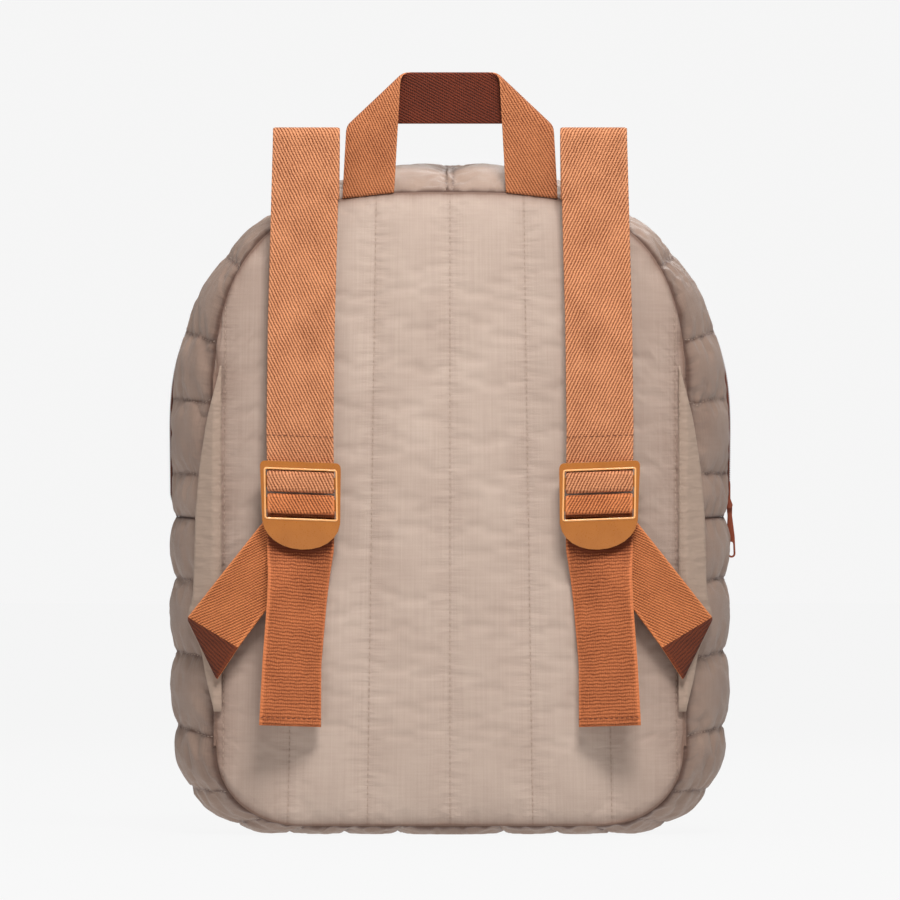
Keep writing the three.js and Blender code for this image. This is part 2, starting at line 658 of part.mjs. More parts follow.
// From a buckle's frame to the bag's: turned by its tilt, which fades out up the strap.
function fromBuckle(side, across, out, up, tiltShare = 1, yaw = 0) {
  const tilt = rad(BUCKLE_TILT) * tiltShare;
  const x = across * Math.cos(yaw);
  const y = out + across * Math.sin(yaw);
  const centre = lerp(STRAP_CENTRE, BUCKLE_CENTRE, tiltShare);
  const away = up - buckleMiddle;
  return v3(
    side * (centre + x * Math.cos(tilt) + away * Math.sin(tilt) * 0.4),
    buckleY + y,
    BUCKLE_LEVEL + up + x * Math.sin(tilt),
  );
}

function buckle(side) {
  const shape = new THREE.Shape();
  const low = windowLow - BUCKLE_LIP;
  const shoulder = windowLow - BUCKLE_LIP * BUCKLE_SHOULDER_SHARE;
  shape.moveTo(-buckleHalf + BUCKLE_CORNER, buckleTop);
  shape.lineTo(buckleHalf - BUCKLE_CORNER, buckleTop);
  shape.quadraticCurveTo(buckleHalf, buckleTop, buckleHalf, buckleTop - BUCKLE_CORNER);
  shape.lineTo(buckleHalf - BUCKLE_WAIST, shoulder);
  shape.bezierCurveTo(buckleHalf - 2, low + BUCKLE_LIP_ROUND, buckleHalf / 2, low, 0, low);
  shape.bezierCurveTo(
    -buckleHalf / 2, low, -buckleHalf + 2, low + BUCKLE_LIP_ROUND, -buckleHalf + BUCKLE_WAIST, shoulder,
  );
  shape.lineTo(-buckleHalf, buckleTop - BUCKLE_CORNER);
  shape.quadraticCurveTo(-buckleHalf, buckleTop, -buckleHalf + BUCKLE_CORNER, buckleTop);
  const openingCorners = [
    [-windowHalf, windowLow],
    [windowHalf, windowLow],
    [windowHalf, windowTop],
    [-windowHalf, windowTop],
  ];
  shape.holes.push(new THREE.Path(openingCorners.map((corner) => new THREE.Vector2(...corner))));
  const frame = thickShape(shape, -BUCKLE_THICKNESS / 2, BUCKLE_THICKNESS / 2, 6);
  let body = toManifold(frame);
  for (const bar of [lowerBar, upperBar]) {
    const box = new THREE.BoxGeometry(2 * windowHalf + BUCKLE_RAIL, BAR_THICKNESS, BAR_HEIGHT);
    box.translate(0, 0, (bar.low + bar.high) / 2);
    body = body.add(toManifold(box));
  }
  const placed = fromManifold(body);
  const position = placed.getAttribute("position");
  for (let k = 0; k < position.count; k++) {
    const p = fromBuckle(side, position.getX(k), position.getY(k), position.getZ(k));
    position.setXYZ(k, p.x, p.y, p.z);
  }
  return closedGeometry(Array.from(position.array), Array.from(placed.index.array));
}

// Edges of a strip that follows a (y, z) route in the buckle's frame.
function strapSections(side, route, tiltShareAt, yawAt, edgeUp = () => 0) {
  return route.map(([out, up], k) => {
    const edge = (sign) => fromBuckle(
      side, (sign * STRAP_WIDTH) / 2, out, up + edgeUp(k, sign), tiltShareAt(up), yawAt(k),
    );
    return { a: edge(-1), b: edge(1) };
  });
}

function shoulderStrap(side) {
  const topUp = STRAP_TOP_LEVEL - BUCKLE_LEVEL - STRAP_THICKNESS / 2;
  const seatUp = rimLevel(STRAP_CENTRE) - BUCKLE_LEVEL;
  const backOut = RIM_MIDDLE_Y - buckleY;
  const foldOutwards = backOut - STRAP_STAND_OFF;
  const frontOut = foldOutwards - 2 * STRAP_FOLD_RADIUS;
  const passage = (windowTop + upperBar.high) / 2;
  const underBar = upperBar.low - GAP - STRAP_THICKNESS / 2;
  const corners = [
    [backOut, seatUp],
    [foldOutwards, topUp - 2 * STRAP_FOLD_RADIUS],
    [foldOutwards, topUp],
    [frontOut, topUp],
    [lerp(frontOut, webBack, 0.7), lerp(topUp, buckleTop, 0.6)],
    [webBack, buckleTop + STRAP_LOOP_SEAM + STRAP_LOOP_CLOSE],
    [webBack, passage],
    [-webFront, passage],
    [-webFront, underBar],
    [webFar, underBar],
    [webFar, buckleTop + STRAP_LOOP_SEAM],
  ];
  const route = roundedRoute(corners.slice(0, 6), STRAP_FOLD_RADIUS, 4);
  route.push(...roundedRoute(corners.slice(5), STRAP_THICKNESS * 0.7, 3).slice(1));
  const fade = (up) => 1 - THREE.MathUtils.smoothstep(up, buckleTop + STRAP_LOOP_SEAM, topUp * 0.9);
  const x = (sign) => STRAP_CENTRE + (sign * STRAP_WIDTH) / 2;
  const seat = seatOnRim(x(-1), x(1));
  const sewnEnd = (k, sign) => (k === 0 ? seat(x(sign)) - rimLevel(STRAP_CENTRE) : 0);
  const sections = strapSections(side, route, fade, () => 0, sewnEnd);
  return webbing(withNormals(sections, v3(0, 1, 0)), STRAP_THICKNESS);
}

// Wing hem, from its tip down and in, and the ridge where the lower strap turns up to the buckle.
const wingTip = v3(seamOutline.half + WING_REACH, -WING_TIP_DEPTH, WING_TIP_LEVEL);
const crownAtLine = PANEL_CROWN * (1 - (PANEL_OUTER_LINE / seamOutline.half) ** 2);
const wingSewnY = -(BACK_DEPTH + SEWN_WALL + crownAtLine + GAP + WING_THICKNESS / 2);
const overWing = WING_THICKNESS / 2 + GAP + WEB_THICKNESS / 2 + HEM_LIFT;
const hemAngle = rad(WING_HEM_ANGLE);
const hemTip = wingTip.clone().add(v3(-WING_BORDER, -overWing, 0));
const hemFoot = v3(
  hemTip.x - STRAP_WIDTH * Math.cos(hemAngle),
  wingSewnY - overWing,
  hemTip.z - STRAP_WIDTH * Math.sin(hemAngle),
);
const ridgeTip = hemTip.clone().add(v3(0, -WEB_THICKNESS, 1));
const ridgeFoot = hemTip.clone().add(v3(-RIDGE_IN, -RIDGE_LEAN, -RIDGE_DROP));
const mirror = (side, p) => v3(side * p.x, p.y, p.z);

function lowerStrap(side) {
  const clear = WEB_THICKNESS / 2 + GAP;
  const betweenBars = lowerBar.high + clear;
  const underBar = lowerBar.low - clear;
  const lipFoot = windowLow - BUCKLE_LIP;
  const tailEnd = underBar - TAIL_LENGTH;
  const loop = roundedRoute([
    [webFar, lowerBar.low - WEB_START_DROP],
    [webFar, betweenBars],
    [-webFront, betweenBars],
    [-webFront, underBar],
    [webBack, underBar],
    [webBack, lipFoot],
    ...[0.15, 0.3, 0.65, 1].map((share) => [
      webBack - TAIL_HANG_OUT * share, lerp(lipFoot, tailEnd, share),
    ]),
  ], WEB_THICKNESS * 0.7, 3);
  const tailShare = (up) => THREE.MathUtils.smoothstep(-up, -lipFoot, -lipFoot + BUCKLE_LIP);
  const bend = loop.findIndex(([out]) => out < 0);
  const isTail = (k) => k > bend && loop[k][1] < windowLow;
  const sections = strapSections(
    side, loop, () => 1, (k) => (isTail(k) ? -rad(TAIL_YAW) * tailShare(loop[k][1]) : 0),
  );
  sections.forEach((section, k) => {
    if (!isTail(k)) return;
    const drift = TAIL_DRIFT * THREE.MathUtils.smoothstep(-loop[k][1], 0, TAIL_LENGTH);
    for (const p of [section.a, section.b]) p.x += side * drift;
  });
  const start = [
    { a: mirror(side, hemFoot), b: mirror(side, hemTip) },
    { a: mirror(side, ridgeFoot), b: mirror(side, ridgeTip) },
  ];
  const first = sections[0];
  const facet = [0.12, 0.3, 0.5, 0.75].map((share) => {
    const bow = v3(0, -WEB_BOW * Math.sin(Math.PI * share), 0);
    return {
      a: start[1].a.clone().lerp(first.a, share).add(bow),
      b: start[1].b.clone().lerp(first.b, share).add(bow),
    };
  });
  return webbing(withNormals([...start, ...facet, ...sections], v3(0, -1, 0)), WEB_THICKNESS);
}

// Wing: rows from its pointed top down to its foot; reach is the share of the way from the panel's
// outer stitch line to the tip, level the share of the height from foot to top.
const WING_ROWS = [
  { level: 0.0, reach: 0.2 },
  { level: 0.1, reach: 0.44 },
  { level: 0.18, reach: 0.56 },
  { level: 0.267, reach: 1.0 },
  { level: 0.33, reach: 0.79 },
  { level: 0.45, reach: 0.76 },
  { level: 0.57, reach: 0.73 },
  { level: 0.71, reach: 0.61 },
  { level: 0.85, reach: 0.43 },
  { level: 1.0, reach: 0.2 },
];
function sideWing(side) {
  const sewnX = PANEL_OUTER_LINE + WING_STITCH_INSET;
  const columns = 3;
  const surface = (face) => (i, j) => {
    const { level, reach } = WING_ROWS[i];
    const edge = lerp(sewnX, wingTip.x, reach);
    const bend = Math.min(seamOutline.half + GAP, lerp(sewnX, edge, 0.6));
    const x = [sewnX, bend, lerp(bend, edge, 0.5), edge][j];
    const z = lerp(WING_FOOT_LEVEL, WING_TOP_LEVEL, level);
    const bendX = seamOutline.half + GAP;
    const past = Math.max(0, (x - bendX) / (wingTip.x - bendX));
    const y = lerp(wingSewnY, wingTip.y, past);
    return v3(side * x, y + (face * WING_THICKNESS) / 2, z);
  };
  return slab(WING_ROWS.length - 1, columns, surface(-1), surface(1));
}

for (const [name, side] of [["left", -1], ["right", 1]]) {
  add(`shoulder_strap_${name}`, shoulderStrap(side), materials.strap);
  add(`buckle_${name}`, buckle(side), materials.buckle);
  add(`lower_strap_${name}`, lowerStrap(side), materials.lowerStrap);
  add(`side_wing_${name}`, sideWing(side), materials.wing);
}

export default bag;
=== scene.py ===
# %% [markdown]
# # A quilted puffer backpack, from the wearer's side
#
# The real bag is a padded shell: two quilted panels joined by a quilted band, or gusset, that a zip
# splits over the top and down both sides. Webbing straps with two ladder-lock buckles hang on the
# back panel. This lesson rebuilds it in Blender around a CAD frame that fixes every place and size.
# Cloth is simulated, stitches and zip teeth are Geometry Nodes, and the finishes are shader maths.

# %% Load the frame
import math

import bpy
import numpy as np
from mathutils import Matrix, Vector


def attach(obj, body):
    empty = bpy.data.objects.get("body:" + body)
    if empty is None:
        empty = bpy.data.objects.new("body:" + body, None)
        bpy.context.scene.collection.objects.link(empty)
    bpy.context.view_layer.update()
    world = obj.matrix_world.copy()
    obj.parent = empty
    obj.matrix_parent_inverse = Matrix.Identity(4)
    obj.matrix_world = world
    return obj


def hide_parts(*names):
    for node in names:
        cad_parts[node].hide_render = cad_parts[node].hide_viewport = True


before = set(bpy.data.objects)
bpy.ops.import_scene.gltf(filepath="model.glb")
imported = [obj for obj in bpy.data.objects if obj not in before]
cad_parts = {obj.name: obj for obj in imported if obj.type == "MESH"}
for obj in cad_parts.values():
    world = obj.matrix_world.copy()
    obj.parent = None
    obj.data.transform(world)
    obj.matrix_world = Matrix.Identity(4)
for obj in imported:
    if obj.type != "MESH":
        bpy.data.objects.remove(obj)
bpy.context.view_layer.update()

# %% [markdown]
# Sizes are worked out in millimetres, as a pattern cutter would write them down, and turned into
# Blender's metres where a mesh is made. Most pieces are grids of points, so three small helpers
# carry the whole lesson: a blend, a soft step and a unit vector.

# %% Small helpers
MM = 0.001


def lerp(a, b, t):
    return a + (b - a) * t


def smoothstep(x, low, high):
    t = np.clip((x - low) / (high - low), 0, 1)
    return t * t * (3 - 2 * t)


def unit(v):
    return v / np.maximum(np.linalg.norm(v, axis=-1, keepdims=True), 1e-12)


def ripples(u, v, wavelength, seed, stretch=1.0, waves=28):
    """Smooth seeded noise from -1 to 1: cosine waves of about one length, in all directions.
    stretch above 1 draws the waves out along v."""
    rng = np.random.default_rng(seed)
    total = np.zeros(np.broadcast(u, v).shape)
    for _ in range(waves):
        angle, phase = rng.uniform(0, math.pi), rng.uniform(0, 2 * math.pi)
        k = 2 * math.pi / (wavelength * rng.uniform(0.7, 1.6))
        total += np.cos(k * (u * math.cos(angle) + v * math.sin(angle) / stretch) + phase)
    return total / math.sqrt(waves)


def placed(name, data):
    """A new object in the scene."""
    piece = bpy.data.objects.new(name, data)
    bpy.context.scene.collection.objects.link(piece)
    return piece


def grid_piece(name, points, faces, uv):
    """A mesh object from points and their uv, both in millimetres."""
    mesh = bpy.data.meshes.new(name)
    mesh.from_pydata((points * MM).tolist(), [], faces)
    layer = mesh.uv_layers.new(name="cloth")
    corners = np.empty(len(mesh.loops), int)
    mesh.loops.foreach_get("vertex_index", corners)
    layer.data.foreach_set("uv", (uv[corners] * MM).astype(np.float32).ravel())
    mesh.shade_smooth()
    return placed(name, mesh)


def baked(piece):
    """Makes what a piece's modifiers give its own mesh."""
    made = bpy.data.meshes.new_from_object(piece.evaluated_get(bpy.context.evaluated_depsgraph_get()))
    piece.modifiers.clear()
    piece.data = made
    made.shade_smooth()
    return made


# %% [markdown]
# ## The shape of the shell
#
# In front view the bag has a wide outline over the zip and a smaller one at the two seams. Both are
# a superellipse above the widest level, a straight taper below it and rounded corners at the base.
# A point on the shell is found from its length along the zip outline and its depth towards a seam,
# so a sewn channel is simply a range of lengths.

# %% Outlines
WIDEST_LEVEL = 228.0
CORNER_SQUARENESS = 2.2
GUSSET_PUFF = 3.4
PUFF_AT_ZIP = 0.6
BACK_DEPTH = 60.0
FRONT_DEPTH = 54.0
GAP = 0.3
SEWN_WALL = 2.5
BODY_WIDTH, BODY_HEIGHT, SEAM_HALF, SEAM_HEIGHT = 315, 378, 133.0, 361.7
ZIP_PUFF = GUSSET_PUFF * PUFF_AT_ZIP
zip_outline = dict(half=BODY_WIDTH / 2 - ZIP_PUFF, rise=BODY_HEIGHT - ZIP_PUFF - WIDEST_LEVEL,
                   squareness=2.25, taper=1.5, corner_width=62.0, corner_height=55.0, floor=ZIP_PUFF - 0.6)
seam_outline = dict(half=SEAM_HALF, rise=SEAM_HEIGHT - WIDEST_LEVEL, squareness=3.1, taper=1.5,
                    corner_width=50.0, corner_height=45.0, floor=5.0)


def outline_point(outline, place):
    """x and z at a place: 0 top centre, 1 widest level, 2 and 3 the corner's ends, 4 bottom centre."""
    place = np.asarray(place, float)
    foot = outline["half"] - outline["taper"]
    turn = (1 - np.clip(place, 0, 1)) * math.pi / 2
    n = outline["squareness"]
    reach = ((np.cos(turn) / outline["half"]) ** n + (np.sin(turn) / outline["rise"]) ** n) ** (-1 / n)
    top = reach * np.cos(turn), WIDEST_LEVEL + reach * np.sin(turn)
    t = np.clip(place - 1, 0, 1)
    corner_top = outline["floor"] + outline["corner_height"]
    side = lerp(outline["half"], foot, t), lerp(WIDEST_LEVEL, corner_top, t)
    turn = np.clip(place - 2, 0, 1) * math.pi / 2
    power = 2 / CORNER_SQUARENESS
    corner = (foot - outline["corner_width"] * (1 - np.abs(np.cos(turn)) ** power),
              outline["floor"] + outline["corner_height"] * (1 - np.abs(np.sin(turn)) ** power))
    base = (foot - outline["corner_width"]) * (4 - place), np.full_like(place, outline["floor"])
    parts = [place <= 1, place <= 2, place <= 3]
    return [np.select(parts, [a, b, c], d) for a, b, c, d in zip(top, side, corner, base)]


places = np.linspace(0, 4, 1601)
outline_lengths = np.concatenate([[0], np.cumsum(np.hypot(*np.diff(outline_point(zip_outline, places))))])
half_length = outline_lengths[-1]


def length_at_level(level):
    x, z = outline_point(zip_outline, places)
    side = (places > 0.3) & (places < 3)
    return float(np.interp(-level, -z[side], outline_lengths[side]))


ZIP_END_LEVEL = 179.0
zip_end = length_at_level(ZIP_END_LEVEL)
print(f"half outline {half_length:.1f} mm, zip ends at {zip_end:.1f} mm")


def shell_point(length, depth):
    """The stitched surface: length from the top centre, signed to +X and running on under the base,
    depth -1 at the back seam to 1 at the front seam."""
    length, depth = np.broadcast_arrays(np.asarray(length, float), np.asarray(depth, float))
    length = np.where(length > half_length, length - 2 * half_length, length)
    place = np.interp(np.abs(length), outline_lengths, places)
    (x_zip, z_zip), (x_seam, z_seam) = outline_point(zip_outline, place), outline_point(seam_outline, place)
    spread = 1 - np.minimum(np.abs(depth), 1) ** 2.2
    side = np.where(length < 0, -1, 1)
    reach = np.where(depth < 0, BACK_DEPTH - GAP, FRONT_DEPTH - GAP)
    return np.stack([side * lerp(x_seam, x_zip, spread), depth * reach, lerp(z_seam, z_zip, spread)], -1)


def shell_normal(length, depth):
    along = shell_point(length + 2, depth) - shell_point(length - 2, depth)
    fore, aft = np.minimum(depth + 0.02, 1), np.maximum(depth - 0.02, -1)
    across = shell_point(length, fore) - shell_point(length, aft)
    normal = unit(np.cross(along, across))
    here = shell_point(length, depth)
    inward = normal[..., 0] * here[..., 0] + normal[..., 2] * (here[..., 2] - WIDEST_LEVEL) < 0
    return np.where(inward[..., None], -normal, normal)


# %% [markdown]
# ## Quilting
#
# Quilting is two layers of cloth with wadding between them, sewn through along lines. Between two
# lines the wadding lifts the cloth, and because the cloth is longer than the line that gathers it,
# it puckers there. Blender's cloth solver shows this well: the skin is cut a little too large,
# pinned where it is sewn, and air pressure stands for the wadding.

# %% Channels, and the solver that swells them
def channel_columns(creases, step):
    """Positions across channels, and the share of the way through the channel, from its creases."""
    at, share, sewn = [], [], []
    for low, high in zip(creases, creases[1:]):
        count = max(2, round((high - low) / step))
        for s in range(count):
            at.append(lerp(low, high, s / count))
            share.append(s / count)
            sewn.append(s == 0)
    return np.array(at + [creases[-1]]), np.array(share + [0.0]), np.array(sewn + [True])


def refine(grid):
    """Doubles a grid's points along both ways, on the smooth curve through the old ones."""
    for _ in range(2):
        padded = np.concatenate([2 * grid[:1] - grid[1:2], grid, 2 * grid[-1:] - grid[-2:-1]])
        middle = (9 * (padded[1:-2] + padded[2:-1]) - padded[:-3] - padded[3:]) / 16
        out = np.empty((2 * len(grid) - 1, *grid.shape[1:]))
        out[::2], out[1::2] = grid, middle
        grid = out.swapaxes(0, 1)
    return grid


def grid_quads(columns, rows, start=0, flip=False):
    at = start + np.arange(columns * rows).reshape(columns, rows)
    quads = np.stack([at[:-1, :-1], at[1:, :-1], at[1:, 1:], at[:-1, 1:]], -1).reshape(-1, 4)
    return (quads[:, ::-1] if flip else quads).tolist()


SIM_FRAMES = 26
CLOTH = dict(quality=6, mass=0.05, air_damping=2.0, tension_stiffness=12.0, compression_stiffness=12.0,
             shear_stiffness=6.0, bending_stiffness=0.4, use_pressure=True, uniform_pressure_force=80.0)


def swell(name, skin, sewn, outward, oversize, cap):
    """Cloth simulation of one skin: sewn points stay, the rest swells outwards, by no more than the
    cap in millimetres. Oversize is the share by which the cloth is cut too large."""
    columns, rows = sewn.shape
    c, r = columns // 2, rows // 2
    facing = np.cross(skin[c + 1, r] - skin[c, r], skin[c, r + 1] - skin[c, r]) @ outward[c, r]
    mesh = bpy.data.meshes.new(name + "_sim")
    quads = grid_quads(columns, rows, flip=bool(facing < 0))
    mesh.from_pydata((skin.reshape(-1, 3) * MM).tolist(), [], quads)
    body = placed(name + "_sim", mesh)
    pins = body.vertex_groups.new(name="sewn")
    pins.add(np.flatnonzero(sewn.ravel()).tolist(), 1.0, "ADD")
    cloth = body.modifiers.new("cloth", "CLOTH")
    for setting, value in CLOTH.items():
        setattr(cloth.settings, setting, value)
    cloth.settings.vertex_group_mass = "sewn"
    cloth.settings.shrink_min = -oversize
    cloth.settings.effector_weights.gravity = 0
    cloth.collision_settings.use_collision = False
    cloth.point_cache.frame_start, cloth.point_cache.frame_end = 1, SIM_FRAMES
    scene = bpy.context.scene
    for number in range(1, SIM_FRAMES + 1):
        scene.frame_set(number)
    settled = body.evaluated_get(bpy.context.evaluated_depsgraph_get()).data
    out = np.empty(len(settled.vertices) * 3)
    settled.vertices.foreach_get("co", out)
    bpy.data.objects.remove(body)
    bpy.data.meshes.remove(mesh)
    scene.frame_set(1)
    moved = out.reshape(skin.shape) / MM - skin
    far = np.linalg.norm(moved, axis=-1, keepdims=True)
    print(f"{name}: swelled by up to {far.max():.1f} mm, {np.median(far):.1f} mm in the middle of them")
    return skin + moved * np.minimum(1, cap / np.maximum(far, 1e-9))


# %% [markdown]
# A finished quilted piece is a closed pad: the swelled skin outside, a plain lining inside and a
# closed edge between them. The lining is hidden, so it gets only a few long faces.

# %% Close a skin into a pad
LINING_ROWS, FAR_FROM_SEAMS = 5, 50.0


def closed_faces(columns, rows, kept):
    """Faces of a closed pad: a grid, then its lining with only the kept rows, then the edge."""
    start, fewer = columns * rows, len(kept)
    top = np.arange(start).reshape(columns, rows)
    low = start + np.arange(columns * fewer).reshape(columns, fewer)
    faces = grid_quads(columns, rows) + grid_quads(columns, fewer, start, flip=True)
    for c in range(columns - 1):
        faces.append([top[c + 1, 0], top[c, 0], low[c, 0], low[c + 1, 0]])
        faces.append([top[c, -1], top[c + 1, -1], low[c + 1, -1], low[c, -1]])
    for k in range(fewer - 1):
        ends = range(kept[k], kept[k + 1] + 1)
        faces.append([top[0, j] for j in ends] + [low[0, k + 1], low[0, k]])
        faces.append([top[-1, j] for j in reversed(ends)] + [low[-1, k], low[-1, k + 1]])
    return [[int(v) for v in face] for face in faces]


def padded_piece(name, outer, inner, uv, **marks):
    """A closed pad from the outer grid and the inner one, whose rows are thinned out. Marks are
    numbers on the outer points, such as the distance to a stitch line, that the cloth finish reads."""
    columns, rows = outer.shape[:2]
    kept = np.round(np.linspace(0, rows - 1, LINING_ROWS)).astype(int)
    lining = inner[:, kept]
    points = np.concatenate([outer.reshape(-1, 3), lining.reshape(-1, 3)])
    all_uv = np.concatenate([uv.reshape(-1, 2), uv[:, kept].reshape(-1, 2)])
    faces = closed_faces(columns, rows, kept)
    c, r = columns // 2, rows // 2
    facing = np.cross(outer[c + 1, r] - outer[c, r], outer[c, r + 1] - outer[c, r])
    if facing @ (outer[c, r] - inner[c, r]) < 0:
        faces = [face[::-1] for face in faces]
    piece = grid_piece(name, points, faces, all_uv)
    for mark, values in marks.items():
        layer = piece.data.attributes.new(mark, "FLOAT", "POINT")
        values = np.concatenate([values.ravel(), np.full(columns * LINING_ROWS, FAR_FROM_SEAMS)])
        layer.data.foreach_set("value", values.astype(np.float32))
    return piece


def nearest(at, lines):
    return np.min([np.abs(at - line) for line in lines], axis=0)


# %% [markdown]
# ## The back and front panels
#
# Each panel is quilted in vertical channels that fan out a little towards the base. It is fullest in
# the middle, thin at the seam, and its cloth puckers along the stitch lines and the seam.

# %% Panel skins
PANEL_CREASES, LAST_CREASE = [0, 44, 88, 127], 127
PANEL_STEP, PANEL_ROWS, SEAM_COLUMNS = 3.3, 108, 8
PANEL_FAN, PANEL_CROWN, PANEL_PUFF, PANEL_DENTS = 0.13, 8.0, 5.0, 0.4


def seam_level(x, top):
    across = np.minimum(np.abs(x), seam_outline["half"])
    if top:
        n = seam_outline["squareness"]
        return WIDEST_LEVEL + seam_outline["rise"] * (1 - (across / seam_outline["half"]) ** n) ** (1 / n)
    foot = seam_outline["half"] - seam_outline["taper"]
    into = np.clip((across - foot + seam_outline["corner_width"]) / seam_outline["corner_width"], 0, 1)
    drop = (1 - into**CORNER_SQUARENESS) ** (1 / CORNER_SQUARENESS)
    return seam_outline["floor"] + seam_outline["corner_height"] * (1 - drop)


def panel_columns():
    """Columns from seam to seam, closer together beside the seam."""
    at, share, sewn = channel_columns(PANEL_CREASES, PANEL_STEP)
    closer = 1 - (1 - np.linspace(0, 1, SEAM_COLUMNS + 1)[1:]) ** 1.8
    at = np.append(at, LAST_CREASE + (SEAM_HALF - LAST_CREASE) * closer)
    share = np.append(share, np.zeros(SEAM_COLUMNS))
    sewn = np.append(sewn, [False] * (SEAM_COLUMNS - 1) + [True])
    return [np.concatenate([half[:0:-1] * sign, half]) for half, sign in ((at, -1), (share, 1), (sewn, True))]


def panel(name, node, side, depth, seed, oversize):
    """One quilted panel, facing -Y or +Y. Returns it and its stitch lines."""
    at, share, sewn_column = panel_columns()
    rows = 0.5 - 0.5 * np.cos(math.pi * np.linspace(0, 1, PANEL_ROWS))
    rows = lerp(rows, np.linspace(0, 1, PANEL_ROWS), 0.75)
    column, row = np.meshgrid(at, rows, indexing="ij")
    x = column * (1 + PANEL_FAN * (0.5 - row) * (1 - (column / SEAM_HALF) ** 2))
    z = lerp(seam_level(x, False), seam_level(x, True), row)
    from_edge = np.minimum(z - seam_level(x, False), seam_level(x, True) - z)
    from_edge = np.minimum(from_edge, SEAM_HALF - np.abs(x))
    crown = PANEL_CROWN * (1 - (x / SEAM_HALF) ** 2) * np.sin(math.pi * row) ** 0.7
    lip = SEWN_WALL * smoothstep(from_edge, 0, 7)
    puff = np.sin(math.pi * share)[:, None] ** 0.8 * smoothstep(from_edge, 0, 30)
    loose = ripples(x, z, 60, seed, 1.6) * 0.25 + ripples(x, z, 12, seed + 1, 0.4) * 0.03
    sewn = np.broadcast_to(sewn_column[:, None], x.shape).copy()
    sewn[:, 0] = sewn[:, -1] = True
    height = lip + (0.45 * PANEL_PUFF * puff + loose) * ~sewn
    start = np.stack([x, side * (depth + crown + height), z], -1)
    outward = np.zeros_like(start) + [0, side, 0]
    skin = swell(name, start, sewn, outward, oversize, 7.0)
    lining = np.stack([x, side * (depth + crown - 1.2 * puff), z], -1)
    lining[..., 1] = side * np.minimum(np.abs(lining[..., 1]), depth + crown - 0.1)
    outer, inner, cut = refine(skin), refine(lining), refine(np.stack([column, z], -1))
    outer[:, [0, -1], 1] = side * np.maximum(np.abs(outer[:, [0, -1], 1]), depth + 0.25)
    from_stitch = nearest(cut[..., 0], [s * c for c in PANEL_CREASES for s in (-1, 1)])
    from_seam = refine(from_edge[..., None])[..., 0]
    dents = smoothstep(from_stitch, 0, 14) * smoothstep(from_seam, 0, 26) * side * PANEL_DENTS
    outer[..., 1] += dents * ripples(cut[..., 0], cut[..., 1], 62, seed + 5, 1.8)
    piece = padded_piece(name, outer, inner, cut, from_stitch=from_stitch, from_seam=from_seam)
    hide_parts(node)
    return piece, outer[2 * np.flatnonzero(sewn_column)[1:-1]]


back_quilt, back_lines = panel("back_quilt", "back_panel", -1, BACK_DEPTH, 11, 0.008)
front_quilt, front_lines = panel("front_quilt", "front_panel", 1, FRONT_DEPTH, 23, 0.015)
print("panel faces", len(back_quilt.data.polygons))

# %% [markdown]
# ## The gusset
#
# The band between the seams is sewn across every 40 mm or so, so the side of the bag is a row of
# soft cushions. Above the zip's ends the band is two strips, and the zip runs between them.

# %% Gusset strips
TOP_CREASES = [1.9, 62, 105] + [length_at_level(z) for z in (325, 283, 245.5, 203.5)]
TOP_CREASES += [zip_end - GAP / 2]
BOTTOM_CREASES = [zip_end + GAP / 2] + [length_at_level(z) for z in (144.6, 103, 60.7, 25)]
BOTTOM_CREASES += list(np.linspace(BOTTOM_CREASES[-1], half_length, 6)[1:-1])
GUSSET_STEP, CREASE_WANDER, NEAR_END = 3.2, 1.3, 12
ZIP_WIDTH, ZIP_LIFT = 8.0, 2.0
zip_edge = ZIP_WIDTH / 2 + GAP


